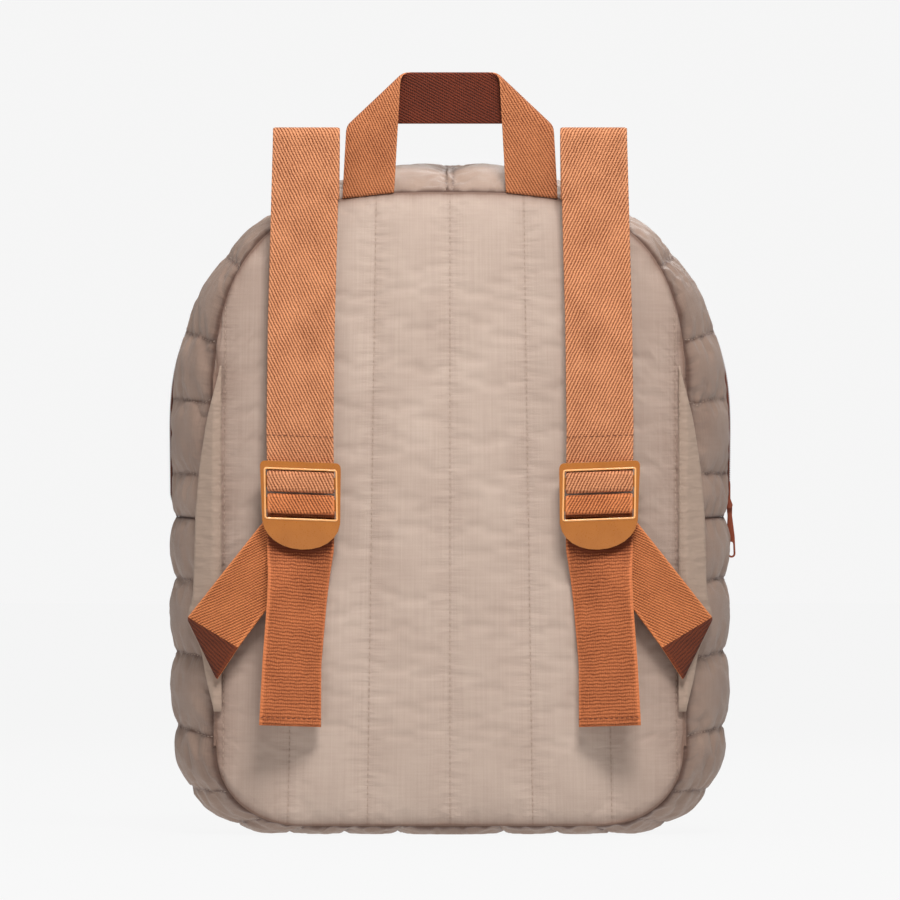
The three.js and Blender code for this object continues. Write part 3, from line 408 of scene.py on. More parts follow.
def gusset(name, node, creases, depths, seed):
    """One strip: creases are lengths from the top centre, depths run from seam to seam or to the zip.
    Its creases wander a little, and beside the zip the cloth is sewn to the raised tape."""
    length_at, share, sewn_column = channel_columns(creases, GUSSET_STEP)
    length, depth = np.meshgrid(length_at, depths, indexing="ij")
    reach = np.where(depth < 0, BACK_DEPTH, FRONT_DEPTH)
    from_end = np.minimum(length_at - length_at[0], length_at[-1] - length_at)
    inside = np.clip(from_end / NEAR_END, 0, 1)[:, None]
    length = length + CREASE_WANDER * inside * ripples(depth * reach, length, 15, seed + 2)
    away = 1 - np.abs(depth)
    by_zip = smoothstep(away, 0.55, 0.92) if abs(depths[-1]) < 0.5 else 0 * away
    rise = np.sin(math.pi / 2 * np.minimum(1, 2.6 * away)) * lerp(1, PUFF_AT_ZIP, smoothstep(away, 0.4, 1))
    puff = np.sin(math.pi * share)[:, None] ** 0.7 * rise
    normal = shell_normal(length, depth)
    on_shell = shell_point(length, depth)
    sewn = np.broadcast_to(sewn_column[:, None], length.shape).copy()
    sewn[:, 0] = sewn[:, -1] = True
    sewn |= by_zip > 0.9
    loose = ripples(length, depth * reach, 20, seed, 0.6) * 0.4
    loose += ripples(length, depth * reach, 8, seed + 1) * 0.15
    height = GUSSET_PUFF * puff
    height = (0.5 * height + loose) * ~sewn
    height = np.maximum(height, ZIP_LIFT * by_zip * inside)
    start = on_shell + normal * height[..., None]
    start[..., 2] = np.maximum(start[..., 2], 0)
    skin = swell(name, start, sewn, normal, 0.03, 4.3 if by_zip.any() else 5.5)
    lining = on_shell - normal * (SEWN_WALL * np.minimum(1, 0.12 + 6 * away) + 1.2 * puff)[..., None]
    outer, inner = refine(skin), refine(lining)
    low, high = sorted((on_shell[0, 0, 1], on_shell[0, -1, 1]))
    for grid in (outer, inner):
        grid[..., 2] = np.maximum(grid[..., 2], 0)
        grid[..., 1] = np.clip(grid[..., 1], low, high)
    cut = refine(np.stack([depth * reach, length], -1))
    from_seam = refine((reach * away)[..., None])[..., 0]
    from_stitch = nearest(cut[..., 1], creases)
    piece = padded_piece(name, outer, inner, cut, from_stitch=from_stitch, from_seam=from_seam)
    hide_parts(node)
    return piece, outer[2 * np.flatnonzero(sewn_column)[1:-1]]


both_sides = [-l for l in reversed(TOP_CREASES)] + TOP_CREASES
back_depths = np.linspace(-1, -zip_edge / (BACK_DEPTH - GAP), 19)
front_depths = np.linspace(1, zip_edge / (FRONT_DEPTH - GAP), 17)
top_back_quilt, top_back_lines = gusset(
    "top_gusset_back_quilt", "top_gusset_back", both_sides, back_depths, 31)
top_front_quilt, top_front_lines = gusset(
    "top_gusset_front_quilt", "top_gusset_front", both_sides, front_depths, 37)
under = BOTTOM_CREASES + [2 * half_length - l for l in reversed(BOTTOM_CREASES)]
bottom_depths = np.concatenate([np.linspace(-1, 0, 19), np.linspace(0, 1, 17)[1:]])
bottom_quilt, bottom_lines = gusset("bottom_gusset_quilt", "bottom_gusset", under, bottom_depths, 41)
quilts = [back_quilt, front_quilt, top_back_quilt, top_front_quilt, bottom_quilt]
print("gusset faces", [len(q.data.polygons) for q in quilts[2:]])

# %% [markdown]
# ## Camera, floor and light
#
# The picture is taken straight on from far away, so nothing is foreshortened: a long lens at 8 m
# takes in 510 mm at the bag. Large soft lights and a pale floor give plain studio light.

# %% Camera, floor and lamps
VIEW_WIDTH, VIEW_CENTRE, FAR, ROOM_RADIUS, ROOM_HEIGHT = 0.5103, 0.2166, 8.0, 12, 9
camera = placed("camera", bpy.data.cameras.new("camera"))
camera.data.lens = camera.data.sensor_width * FAR / VIEW_WIDTH
camera.data.clip_end = 60
camera.location = (0, -FAR, VIEW_CENTRE)
camera.rotation_euler = (math.pi / 2, 0, 0)
bpy.context.scene.camera = camera
bpy.context.scene.view_settings.view_transform = "Standard"


def studio():
    """A round pale floor and a wall far round it, with the camera inside, so every side can be seen.
    The wall is there for the eye alone and lights nothing."""
    turns = np.linspace(0, 2 * math.pi, 64, endpoint=False)
    ring = ROOM_RADIUS * np.stack([np.cos(turns), np.sin(turns), 0 * turns], -1) / MM
    floor = grid_piece("studio_floor", ring, [list(range(64))], ring[:, :2])
    both = np.concatenate([ring, ring + [0, 0, ROOM_HEIGHT / MM]])
    faces = [(k, k + 64, (k + 1) % 64 + 64, (k + 1) % 64) for k in range(64)]
    wall = grid_piece("studio_wall", both, faces, both[:, :2])
    wall.visible_diffuse = wall.visible_glossy = False
    return floor, wall


floor, wall = studio()


def lamp(name, place, size, watts):
    light = bpy.data.lights.new(name, "AREA")
    light.size, light.energy = size, watts
    holder = placed(name, light)
    holder.location = place
    holder.rotation_euler = (Vector((0, 0, 0.2)) - Vector(place)).to_track_quat("-Z", "Y").to_euler()


lamp("key", (0.25, -1.45, 1.8), 0.6, 44)
lamp("fill", (-1.4, -1.6, 0.8), 1.0, 4)
lamp("top", (0.0, 0.2, 2.2), 1.2, 13)
lamp("behind", (0.5, 1.8, 1.5), 1.2, 17)
world = bpy.data.worlds.new("studio")
bpy.context.scene.world = world
world.use_nodes = True
sky = world.node_tree.nodes["Background"].inputs
sky["Color"].default_value, sky["Strength"].default_value = (1, 1, 1, 1), 0.3

# %% [markdown]
# ## Finishes
#
# A finish is a small sum: a weave from crossed waves, blotches from noise, a painted shade where
# threads sink. Written as Python expressions on wrapped sockets, each finish reads like its recipe.

# %% A wrapper for sockets, and a material that adds nodes
def linear(*rgb):
    """An sRGB colour of 0 to 255 as the linear colour that nodes expect."""
    return tuple(c / 255 / 12.92 if c < 10 else ((c / 255 + 0.055) / 1.055) ** 2.4 for c in rgb) + (1.0,)


class Wire:
    """One socket's value. Operators on it add Math nodes to its material."""

    def __init__(self, finish, socket):
        self.finish, self.socket = finish, socket

    def math(self, operation, *others):
        return self.finish.node("ShaderNodeMath", {"operation": operation}, dict(enumerate((self, *others))))

    def __add__(self, other): return self.math("ADD", other)
    def __mul__(self, other): return self.math("MULTIPLY", other)
    def __sub__(self, other): return self.math("SUBTRACT", other)


class Finish:
    """A material built from one Principled shader and the nodes that feed it."""

    def __init__(self, name, roughness=0.8, sheen=0.0, **plain):
        self.material = bpy.data.materials.new(name)
        self.material.use_nodes = True
        self.tree = self.material.node_tree
        self.shader = self.tree.nodes["Principled BSDF"]
        self.feed("Roughness", roughness)
        self.feed("Sheen Weight", sheen)
        for socket, value in plain.items():
            self.feed(socket.replace("_", " "), value)

    def feed(self, socket, value):
        self.put(self.shader.inputs[socket], value)

    def put(self, socket, value):
        if isinstance(value, Wire):
            self.tree.links.new(value.socket, socket)
        else:
            socket.default_value = value

    def node(self, kind, settings=None, sockets=None, output=0):
        made = self.tree.nodes.new(kind)
        for key, value in (settings or {}).items():
            setattr(made, key, value)
        for key, value in (sockets or {}).items():
            self.put(made.inputs[key], value)
        return Wire(self, made.outputs[output])

    def in_millimetres(self, vector):
        return self.node("ShaderNodeMapping", {}, {"Vector": vector, "Scale": (1 / MM, 1 / MM, 1 / MM)})

    def cloth(self):
        """The piece's own uv map."""
        return self.in_millimetres(self.node("ShaderNodeUVMap", {"uv_map": "cloth"}))

    def mark(self, name):
        """A number that the mesh carries on its points."""
        return self.node("ShaderNodeAttribute", {"attribute_name": name}, {}, "Fac")

    def place(self):
        return self.in_millimetres(self.node("ShaderNodeTexCoord", {}, {}, "Object"))

    def split(self, vector):
        parts = self.node("ShaderNodeSeparateXYZ", {}, {"Vector": vector})
        return parts, Wire(self, parts.socket.node.outputs[1])

    def noise(self, vector, scale, detail=2.0, roughness=0.5):
        return self.node("ShaderNodeTexNoise", {}, {"Vector": vector, "Scale": scale, "Detail": detail,
                                                    "Roughness": roughness}, "Fac")

    def stretched(self, vector, along, across):
        return self.node("ShaderNodeMapping", {}, {"Vector": vector, "Scale": (across, along, 1)})

    def mix(self, factor, first, second):
        """A blend of two sRGB colours."""
        made = self.tree.nodes.new("ShaderNodeMix")
        made.data_type = "RGBA"
        for key, value in ((0, factor), (6, linear(*first)), (7, linear(*second))):
            self.put(made.inputs[key], value)
        return Wire(self, made.outputs[2])

    def bump(self, height, distance, strength, normal=None):
        sockets = {"Height": height, "Distance": distance, "Strength": strength}
        if normal:
            sockets["Normal"] = normal
        return self.node("ShaderNodeBump", {}, sockets)

    def wear(self, *pieces):
        for piece in pieces:
            piece.data.materials.append(self.material)


# %% [markdown]
# The shell cloth is a tight plain weave with a faint lustre. Its yarns are uneven, which draws fine
# streaks down the panel, and long use and handling leave soft blotches.

# %% Shell cloth
def shell_cloth(name, light, dark, roughness, streak, stitch_way, seam_way, groove_shade=0.45, turned=0.0,
                side_way=False):
    """The two ways are how fast a pucker changes across and along the uv map, beside a stitch line
    and beside the seam. The groove value paints shade along the stitch lines, and a painted shade also
    runs along the seam. Turned paints shade on the parts far from the middle, where the cloth turns from
    the light: across the panel, or along the band where it goes down the sides."""
    finish = Finish(name, Sheen_Weight=0.06, Sheen_Roughness=0.5, Specular_IOR_Level=0.35)
    uv = finish.cloth()
    across, along = finish.split(uv)
    weave = (across * (2 * math.pi / 0.55)).math("SINE") * (along * (2 * math.pi / 0.6)).math("SINE")
    slubs = finish.noise(finish.stretched(uv, 0.02, 1.1), 1.0, 3.0)
    picks = finish.noise(finish.stretched(uv, 0.9, 0.05), 1.0, 2.0)
    blotch = finish.noise(uv, 0.03, 3.0)
    from_stitch, from_seam = finish.mark("from_stitch"), finish.mark("from_seam")
    # painted shade: darker in the stitch creases and along the seam, where shade falls
    sunk = (from_stitch * -1.3).math("EXPONENT") * groove_shade + (from_seam * -0.5).math("EXPONENT") * 0.9
    yarn = (slubs - 0.5) * streak + (picks - 0.5) * (streak * 0.5) + weave * 0.05
    # painted shade: darker far from the middle, where the cloth turns from the light
    from_middle = (along if side_way else across).math("ABSOLUTE")
    painted_side_shade = ((from_middle - 84) * (1 / 50)).math("MAXIMUM", 0.0).math("MINIMUM", 1.0) * turned
    shade = yarn + (blotch - 0.5) * 0.32 + 0.6 - sunk - painted_side_shade
    finish.feed("Base Color", finish.mix(shade.math("MAXIMUM", 0.0), dark, light))
    finish.feed("Roughness", shade * -0.1 + (roughness + 0.06))
    crumple = finish.noise(uv, 0.1, 3.0, 0.5)
    beside_stitch = finish.noise(finish.stretched(uv, stitch_way[1], stitch_way[0]), 1.0, 2.0)
    beside_seam = finish.noise(finish.stretched(uv, seam_way[1], seam_way[0]), 1.0, 2.0)
    puckers = (beside_stitch - 0.5) * (from_stitch * -0.16).math("EXPONENT")
    puckers = puckers + (beside_seam - 0.5) * (from_seam * -0.13).math("EXPONENT")
    soft = finish.bump(crumple * 0.3 + puckers * 1.3, 1.3 * MM, 0.8)
    finish.feed("Normal", finish.bump(weave * 0.5 + slubs * 0.6, 0.09 * MM, 0.8, soft))
    return finish


panel_cloth = shell_cloth("panel_cloth", (207, 187, 172), (126, 99, 85), 0.62, 0.2,
                          (0.05, 0.26), (0.15, 0.15), 0.1, 0.3)
# painted shade: a darker copy of the shell cloth for the band round the sides of the bag
gusset_cloth_shaded = shell_cloth("gusset_cloth_shaded", (196, 170, 152), (92, 66, 54), 0.5, 0.15,
                           (0.26, 0.05), (0.05, 0.24), 0.6, 0.22, True)
panel_cloth.wear(back_quilt, front_quilt)
gusset_cloth_shaded.wear(top_back_quilt, top_front_quilt, bottom_quilt)
paper = Finish("studio_paper", 0.9, Specular_IOR_Level=0.0, Base_Color=linear(40, 40, 40),
               Emission_Color=(1, 1, 1, 1), Emission_Strength=0.905)
paper.wear(floor, wall)

# %% [markdown]
# ## Webbing
#
# Straps and handle are flat woven bands. A band is a run of sections, each the two edge points of
# its middle surface, so folds and loops are only sections that turn. The band gets rounded edges,
# and its uv map carries millimetres across and along, so the weave follows every fold.

# %% Bands from sections
def rounded_route(corners, radius, steps):
    """Straight stretches with round corners, as rows of two coordinates."""
    corners = [np.array(c, float) for c in corners]
    route = [corners[0]]
    for before, here, after in zip(corners, corners[1:], corners[2:]):
        back, ahead = before - here, after - here
        room = min(np.linalg.norm(back), np.linalg.norm(ahead)) * 0.49
        back, ahead = unit(back), unit(ahead)
        half = math.acos(np.clip(back @ ahead, -1, 1)) / 2
        if half > math.radians(85):
            route.append(here)
            continue
        reach = min(radius / math.tan(half), room)
        centre = here + unit(back + ahead) * reach / math.cos(half)
        a, b = here + back * reach - centre, here + ahead * reach - centre
        turn = math.atan2(a[0] * b[1] - a[1] * b[0], a @ b)
        for s in range(steps + 1):
            c, k = math.cos(turn * s / steps), math.sin(turn * s / steps)
            route.append(centre + np.array([a[0] * c - a[1] * k, a[0] * k + a[1] * c]))
    return np.array(route + [corners[-1]])


ACROSS = np.array([-1, -0.985, -0.94, -0.8, -0.5, -0.2, 0.2, 0.5, 0.8, 0.94, 0.985, 1])
EDGE_ROUND = np.sqrt(1 - (np.maximum(np.abs(ACROSS) - 0.92, 0) / 0.08) ** 2 * 0.93)


def band(name, edges, thickness, towards, step=2.2, fold_until=0.0):
    """A woven band through sections of two edge points, its first normal leaning towards a vector.
    Its reverse side wears the second material, and a first stretch in the fold the third, which paints shade
    there."""
    edges = np.array(edges, float)
    gaps = np.linalg.norm(np.diff(edges.mean(1), axis=0), axis=1)
    fine = [edges[:1]]
    for k, gap in enumerate(gaps):
        count = max(1, math.ceil(gap / step))
        t = (np.arange(1, count + 1) / count)[:, None, None]
        fine.append(lerp(edges[k], edges[k + 1], t))
    edges = np.concatenate(fine)
    middle = edges.mean(1)
    way = unit(np.diff(middle, axis=0))
    gentle = (np.sum(way[1:] * way[:-1], -1) > 0.93)[:, None, None]
    edges[1:-1] = np.where(gentle, (edges[:-2] + 2 * edges[1:-1] + edges[2:]) / 4, edges[1:-1])
    middle = edges.mean(1)
    along = np.concatenate([middle[1:2] - middle[:1], middle[2:] - middle[:-2], middle[-1:] - middle[-2:-1]])
    normal = unit(np.cross(along, edges[:, 1] - edges[:, 0]))
    last = np.array(towards, float)
    for k in range(len(normal)):
        if normal[k] @ last < 0:
            normal[k] *= -1
        last = normal[k]
    travelled = np.concatenate([[0], np.cumsum(np.linalg.norm(np.diff(middle, axis=0), axis=1))])
    leads = np.einsum("ikc,ic->ik", edges - middle[:, None], unit(along))
    by_edge = travelled[:, None] + leads
    width = np.linalg.norm(edges[0, 1] - edges[0, 0])
    flat = lerp(edges[:, None, 0], edges[:, None, 1], (ACROSS[None, :, None] + 1) / 2)
    lift = normal[:, None] * (thickness / 2 * EDGE_ROUND)[None, :, None]
    lengthwise = lerp(by_edge[:, :1], by_edge[:, 1:], (ACROSS + 1) / 2)
    uv = np.stack(np.broadcast_arrays(ACROSS * width / 2, lengthwise), -1)
    rows, columns = flat.shape[:2]
    points = np.concatenate([(flat + lift).reshape(-1, 3), (flat - lift).reshape(-1, 3)])
    faces = closed_faces(rows, columns, range(columns))
    if np.cross(middle[1] - middle[0], edges[0, 1] - edges[0, 0]) @ normal[0] < 0:
        faces = [face[::-1] for face in faces]
    piece = grid_piece(name, points, faces, np.concatenate([uv.reshape(-1, 2)] * 2))
    slots = np.zeros(len(faces), np.int32)
    one_side = (rows - 1) * (columns - 1)
    slots[one_side:2 * one_side] = 1
    # the first stretch in the fold takes the third material, a painted shade
    in_fold = np.arange(rows - 1) < np.searchsorted(travelled, fold_until)
    slots[:one_side][np.repeat(in_fold, columns - 1)] = 2
    piece.data.polygons.foreach_set("material_index", slots)
    return piece, edges, normal


# %% [markdown]
# The handle is one band of 29 mm webbing. Each leg comes out of the top seam, leans in a little,
# folds over a slanting line and runs on behind the legs as the bar.

# %% Handle
RIM_Y = -(BACK_DEPTH + SEWN_WALL / 2)
HANDLE_LEAN, HANDLE_WEBBING, FOLD_RADIUS = math.radians(3.2), 29.0, 3.0
HANDLE_FOOT, HANDLE_TOP, LEG_SEWN, SEWN_BACK = 46.0, 429.3, 9, 0.9


def rim_level(x):
    return float(seam_level(np.array(float(x)), True))


def handle():
    leg = np.array([-math.sin(HANDLE_LEAN), 0, math.cos(HANDLE_LEAN)])
    across = np.array([leg[2], 0, -leg[0]])
    turn = (math.pi / 2 - HANDLE_LEAN) / 2
    axis = np.array([-math.cos(turn), 0, math.sin(turn)])
    out = np.array([math.sin(turn), 0, math.cos(turn)])
    slide = (leg @ axis) / (leg @ out)
    foot = np.array([HANDLE_FOOT, 0, rim_level(HANDLE_FOOT)])
    cross_level = HANDLE_TOP - HANDLE_WEBBING / 2 - math.pi * FOLD_RADIUS * slide * axis[2]
    middle = foot + leg * (cross_level - foot[2]) / leg[2]
    edges = [middle + across * s * HANDLE_WEBBING / 2 for s in (-1, 1)]
    edges = [e - leg * ((e - middle) @ out) / (leg @ out) for e in edges]
    feet = [HANDLE_FOOT + s * HANDLE_WEBBING / 2 / leg[2] for s in (-1, 1)]
    raised = [e - leg * (e[2] - foot[2] - LEG_SEWN) / leg[2] for e in edges]
    half = [[(x, RIM_Y + SEWN_BACK, rim_level(x) + GAP) for x in feet], [(e[0], RIM_Y, e[2]) for e in raised]]
    for angle in np.linspace(0, math.pi, 9):
        bend = axis * FOLD_RADIUS * angle * slide + out * FOLD_RADIUS * math.sin(angle)
        bend[1] = RIM_Y + FOLD_RADIUS * (1 - math.cos(angle))
        half.append([e + bend for e in edges])
    half = np.array(half, float)
    return np.concatenate([half, half[::-1] * [-1, 1, 1]])


handle_web = band("handle_web", handle(), 1.9, (0, -1, 0))[0]
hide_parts("handle")

# %% [markdown]
# A ladder lock has two bars in one window. The shoulder strap is sewn in a loop round the upper bar,
# and the lower strap runs up behind, over the lower bar and down behind the thumb plate as a tail.

# %% Places round a buckle
STRAP_WIDTH, STRAP_THICKNESS, WEB_THICKNESS = 37.6, 2.2, 2.0
STRAP_CENTRE, BUCKLE_CENTRE, BUCKLE_LEVEL = 80.7, 83.6, 182.9
BUCKLE_Y, BUCKLE_TILT, TILT_SHIFT = -(BACK_DEPTH + 25), math.radians(2.2), 0.4
LOWER_BAR, UPPER_BAR, WINDOW_TOP, WINDOW_LOW, WINDOW_HALF = (0, 6.6), (12.3, 18.9), 22.3, -4.6, 19.5
LIP = 17.6
BUCKLE_TOP, LIP_FOOT = WINDOW_TOP + 4.8, WINDOW_LOW - LIP
BUCKLE_MIDDLE = (BUCKLE_TOP + LIP_FOOT) / 2
WEB_BACK = 2 + GAP + STRAP_THICKNESS / 2
WEB_FAR = WEB_BACK + STRAP_THICKNESS + GAP
WEB_FRONT = 1.6 + GAP + STRAP_THICKNESS / 2


def from_buckle(side, across, out, up, tilt_share=1.0, yaw=0.0):
    """A point from its place on a buckle, which tilts and turns with it by a share."""
    tilt = BUCKLE_TILT * tilt_share
    x, y = across * math.cos(yaw), out + across * math.sin(yaw)
    centre = lerp(STRAP_CENTRE, BUCKLE_CENTRE, tilt_share)
    centre += (up - BUCKLE_MIDDLE) * math.sin(tilt) * TILT_SHIFT
    return np.array([side * (centre + x * math.cos(tilt)), BUCKLE_Y + y,
                     BUCKLE_LEVEL + up + x * math.sin(tilt)])


# %% Shoulder straps
STRAP_TOP, STRAP_FOLD, FOLD_FORWARD, SEWN_LOOP, HANGS_FREE = 398, 4.6, 3.6, 13, 17


def shoulder_strap(side):
    """Sections from the seam over the fold, down and round the upper bar to the loop's sewn end."""
    top_up = STRAP_TOP - BUCKLE_LEVEL - STRAP_THICKNESS / 2
    back_out = RIM_Y - BUCKLE_Y
    fold_out = back_out - FOLD_FORWARD
    front_out = fold_out - 2 * STRAP_FOLD
    passage = (WINDOW_TOP + UPPER_BAR[1]) / 2
    under = UPPER_BAR[0] - GAP - STRAP_THICKNESS / 2
    corners = [(back_out, rim_level(STRAP_CENTRE) - BUCKLE_LEVEL), (fold_out, top_up - 2 * STRAP_FOLD),
               (fold_out, top_up), (front_out, top_up),
               (lerp(front_out, WEB_BACK, 0.7), lerp(top_up, BUCKLE_TOP, 0.6)),
               (WEB_BACK, BUCKLE_TOP + HANGS_FREE), (WEB_BACK, passage), (-WEB_FRONT, passage),
               (-WEB_FRONT, under), (WEB_FAR, under), (WEB_FAR, BUCKLE_TOP + SEWN_LOOP)]
    route = np.concatenate([rounded_route(corners[:6], STRAP_FOLD, 8),
                            rounded_route(corners[5:], STRAP_THICKNESS * 0.7, 5)[1:]])
    sections = []
    for out, up in route:
        fade = 1 - float(smoothstep(up, BUCKLE_TOP + SEWN_LOOP, top_up * 0.9))
        sections.append([from_buckle(side, s * STRAP_WIDTH / 2, out, up, fade) for s in (-1, 1)])
    for p in sections[0]:
        p[2] = rim_level(p[0]) + GAP
    return sections


# %% [markdown]
# The lower strap starts under the hem of the side wing, folds up over a ridge and bows out to the
# buckle. Its tail leans in the free air below the thumb plate.

# %% Lower straps
WING_TIP = np.array([149.0, -51.0, 121.5])
WING_SEWN_Y = -(BACK_DEPTH + SEWN_WALL + PANEL_CROWN * (1 - (LAST_CREASE / SEAM_HALF) ** 2) + GAP + 1)
HEM_ANGLE = math.radians(63.5)
OVER_WING = 1 + GAP + 1 + 2.9
hem_tip = WING_TIP + [-1.5, -OVER_WING, 0]
hem_foot = np.array([hem_tip[0] - STRAP_WIDTH * math.cos(HEM_ANGLE), WING_SEWN_Y - OVER_WING,
                     hem_tip[2] - STRAP_WIDTH * math.sin(HEM_ANGLE)])
ridge_tip, ridge_foot = hem_tip + [0, -2.0, 1.0], hem_tip + [-28.9, -21.0, -15.3]
TAIL_LENGTH, TAIL_BACK, TAIL_ASIDE, TAIL_TURN, TAIL_TWIST, TWISTED, STRAP_BOW = 119.9, 5, 8, 22, 8, 105, 3.5


def lower_strap(side):
    """Sections from the wing's hem over the ridge to the buckle, round its lower bar and down the
    tail, which turns and twists a little."""
    clear = WEB_THICKNESS / 2 + GAP
    between, under = LOWER_BAR[1] + clear, LOWER_BAR[0] - clear
    tail_end = under - TAIL_LENGTH
    corners = [(WEB_FAR, -4), (WEB_FAR, between), (-WEB_FRONT, between), (-WEB_FRONT, under),
               (WEB_BACK, under), (WEB_BACK, LIP_FOOT)]
    corners += [(WEB_BACK - TAIL_BACK * s, lerp(LIP_FOOT, tail_end, s)) for s in (0.15, 0.3, 0.65, 1)]
    route = rounded_route(corners, WEB_THICKNESS * 0.7, 5)
    bend = int(np.argmax(route[:, 0] < 0))
    loop = []
    for k, (out, up) in enumerate(route):
        tail = k > bend and up < WINDOW_LOW
        twist = TAIL_TWIST * math.sin(math.pi * float(np.clip((LIP_FOOT - up) / TWISTED, 0, 1)))
        turn = TAIL_TURN + twist if tail else 0
        yaw = -math.radians(turn) * float(smoothstep(-up, -LIP_FOOT, -LIP_FOOT + LIP))
        pair = [from_buckle(side, s * STRAP_WIDTH / 2, out, up, 1.0, yaw) for s in (-1, 1)]
        if tail:
            for p in pair:
                p[0] += side * TAIL_ASIDE * float(smoothstep(-up, 0, TAIL_LENGTH))
        loop.append(pair)
    mirror = np.array([side, 1, 1])
    start = [[hem_foot * mirror, hem_tip * mirror], [ridge_foot * mirror, ridge_tip * mirror]]
    for share in np.linspace(0.06, 0.94, 12):
        bow = np.array([0, -STRAP_BOW * math.sin(math.pi * share), 0])
        start.append([lerp(start[1][e], loop[0][e], share) + bow for e in (0, 1)])
    return start + loop


def shade_behind_plate(web, side):
    """Marks where the thumb plate keeps light off, and gives the run over the bar the outer finish."""
    points = np.array([v.co for v in web.data.vertices]) / MM
    below = np.maximum(WINDOW_LOW - (points[:, 2] - BUCKLE_LEVEL), 0) / LIP
    beyond = np.hypot(below, (points[:, 0] * side - BUCKLE_CENTRE) / PLATE_HALF) - 1
    shaded = np.exp(-np.maximum(beyond, 0) * 5) * (below > 0) * (points[:, 1] < BUCKLE_Y + WEB_BACK + 2)
    layer = web.data.attributes.new("behind_plate", "FLOAT", "POINT")
    layer.data.foreach_set("value", shaded.astype(np.float32))
    for face in web.data.polygons:
        if face.material_index == 1 and face.center.z / MM > BUCKLE_LEVEL - 2:
            face.material_index = 0


SIDES, PLATE_HALF = (("left", -1), ("right", 1)), 22
fold_length = np.linalg.norm((ridge_tip + ridge_foot - hem_tip - hem_foot) / 2) - 0.5
shoulder_webs, lower_webs = [], []
for word, side in SIDES:
    shoulder = band(f"shoulder_web_{word}", shoulder_strap(side), STRAP_THICKNESS, (0, 1, 0))
    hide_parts(f"shoulder_strap_{word}")
    shoulder_webs.append(shoulder)
    lower = band(f"lower_web_{word}", lower_strap(side), WEB_THICKNESS, (0, -1, 0), fold_until=fold_length)
    shade_behind_plate(lower[0], side)
    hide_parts(f"lower_strap_{word}")
    lower_webs.append(lower)
print("webbing faces", [len(w[0].data.polygons) for w in shoulder_webs + lower_webs])

# %% [markdown]
# ## Side wings
#
# A wing is a doubled triangle of shell cloth, sewn along the panel's outer stitch line. The lower
# strap pulls its tip outwards, so it is modelled as a stretched sheet between the stitch and the tip.

# %% Side wings
WING_ROWS = np.array([(0, 0.2), (0.1, 0.44), (0.18, 0.56), (0.267, 1.0), (0.33, 0.79), (0.45, 0.76),
                      (0.57, 0.73), (0.71, 0.61), (0.85, 0.4), (1, 0.03)])
WING_SEAM, WING_FOOT, WING_TOP, WING_CLOTH, WING_HALF = 128.5, 69.5, 264, 26, 0.75


def wing(word, side):
    """The sheet between stitch line and tip. Returns it and its outer points."""
    level = np.linspace(0, 1, 66)
    reach = np.interp(level, WING_ROWS[:, 0], WING_ROWS[:, 1])
    share = np.linspace(0, 1, 13)
    reach = np.convolve(np.pad(reach, 2, "edge"), [0.1, 0.2, 0.4, 0.2, 0.1], "valid")
    edge = lerp(WING_SEAM, WING_TIP[0], reach)[:, None]
    x = lerp(WING_SEAM, edge, share)
    bend_x = seam_outline["half"] + GAP
    y = lerp(WING_SEWN_Y, WING_TIP[1], np.maximum(0, x - bend_x) / (WING_TIP[0] - bend_x))
    z = np.broadcast_to(lerp(WING_FOOT, WING_TOP, level)[:, None], x.shape)
    y = y + (0.25 * ripples(x, z, 30, 57 + side, 2.5) - 0.5) * np.sin(math.pi * share)
    sheet = np.stack([side * x, y, z], -1)
    out = np.array([0, -WING_HALF, 0])
    uv = np.stack([np.broadcast_to(x, y.shape), z], -1)
    piece = padded_piece(f"wing_{word}", sheet + out, sheet - out, uv)
    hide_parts(f"side_wing_{word}")
    return piece, sheet + out


wings = [wing(word, side) for word, side in SIDES]

# %% [markdown]
# ## Moulded and cast pieces
#
# The buckles, the zip slider and its pull have the CAD shape. Real ones leave the mould with soft
# edges that catch the light, so a merged copy of each gets a bevel.

# %% Soften a hard piece's edges
def softened(name, node, width, segments=3):
    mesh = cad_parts[node].data.copy()
    mesh.materials.clear()
    piece = placed(name, mesh)
    for kind, settings in (("WELD", {"merge_threshold": 2e-6}),
                           ("DECIMATE", {"decimate_type": "DISSOLVE", "angle_limit": math.radians(1.5)}),
                           ("BEVEL", {"width": width * MM, "segments": segments, "limit_method": "ANGLE",
                                      "angle_limit": math.radians(38), "harden_normals": False}),
                           ("TRIANGULATE", {})):
        modifier = piece.modifiers.new(kind.lower(), kind)
        for key, value in settings.items():
            setattr(modifier, key, value)
    baked(piece).set_sharp_from_angle(angle=math.radians(35))
    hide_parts(node)
    return piece


locks = [softened(f"ladder_lock_{word}", f"buckle_{word}", 1.1, 4) for word, _ in SIDES]
slider = softened("zip_slider_cast", "zip_slider", 0.35)
pull = softened("zip_pull_cast", "zip_pull", 0.35)
print("buckle faces", len(locks[0].data.polygons))

# %% [markdown]
# A narrow raised bead runs round the window of each ladder lock. It is a ring of small circles in a
# lighter plastic than the buckle, which paints a highlight round the window as a bright line.

# %% Beads round the windows
BEAD_RADIUS, BEAD_POINTS, BEAD_OUT = 0.6, 8, -1.9


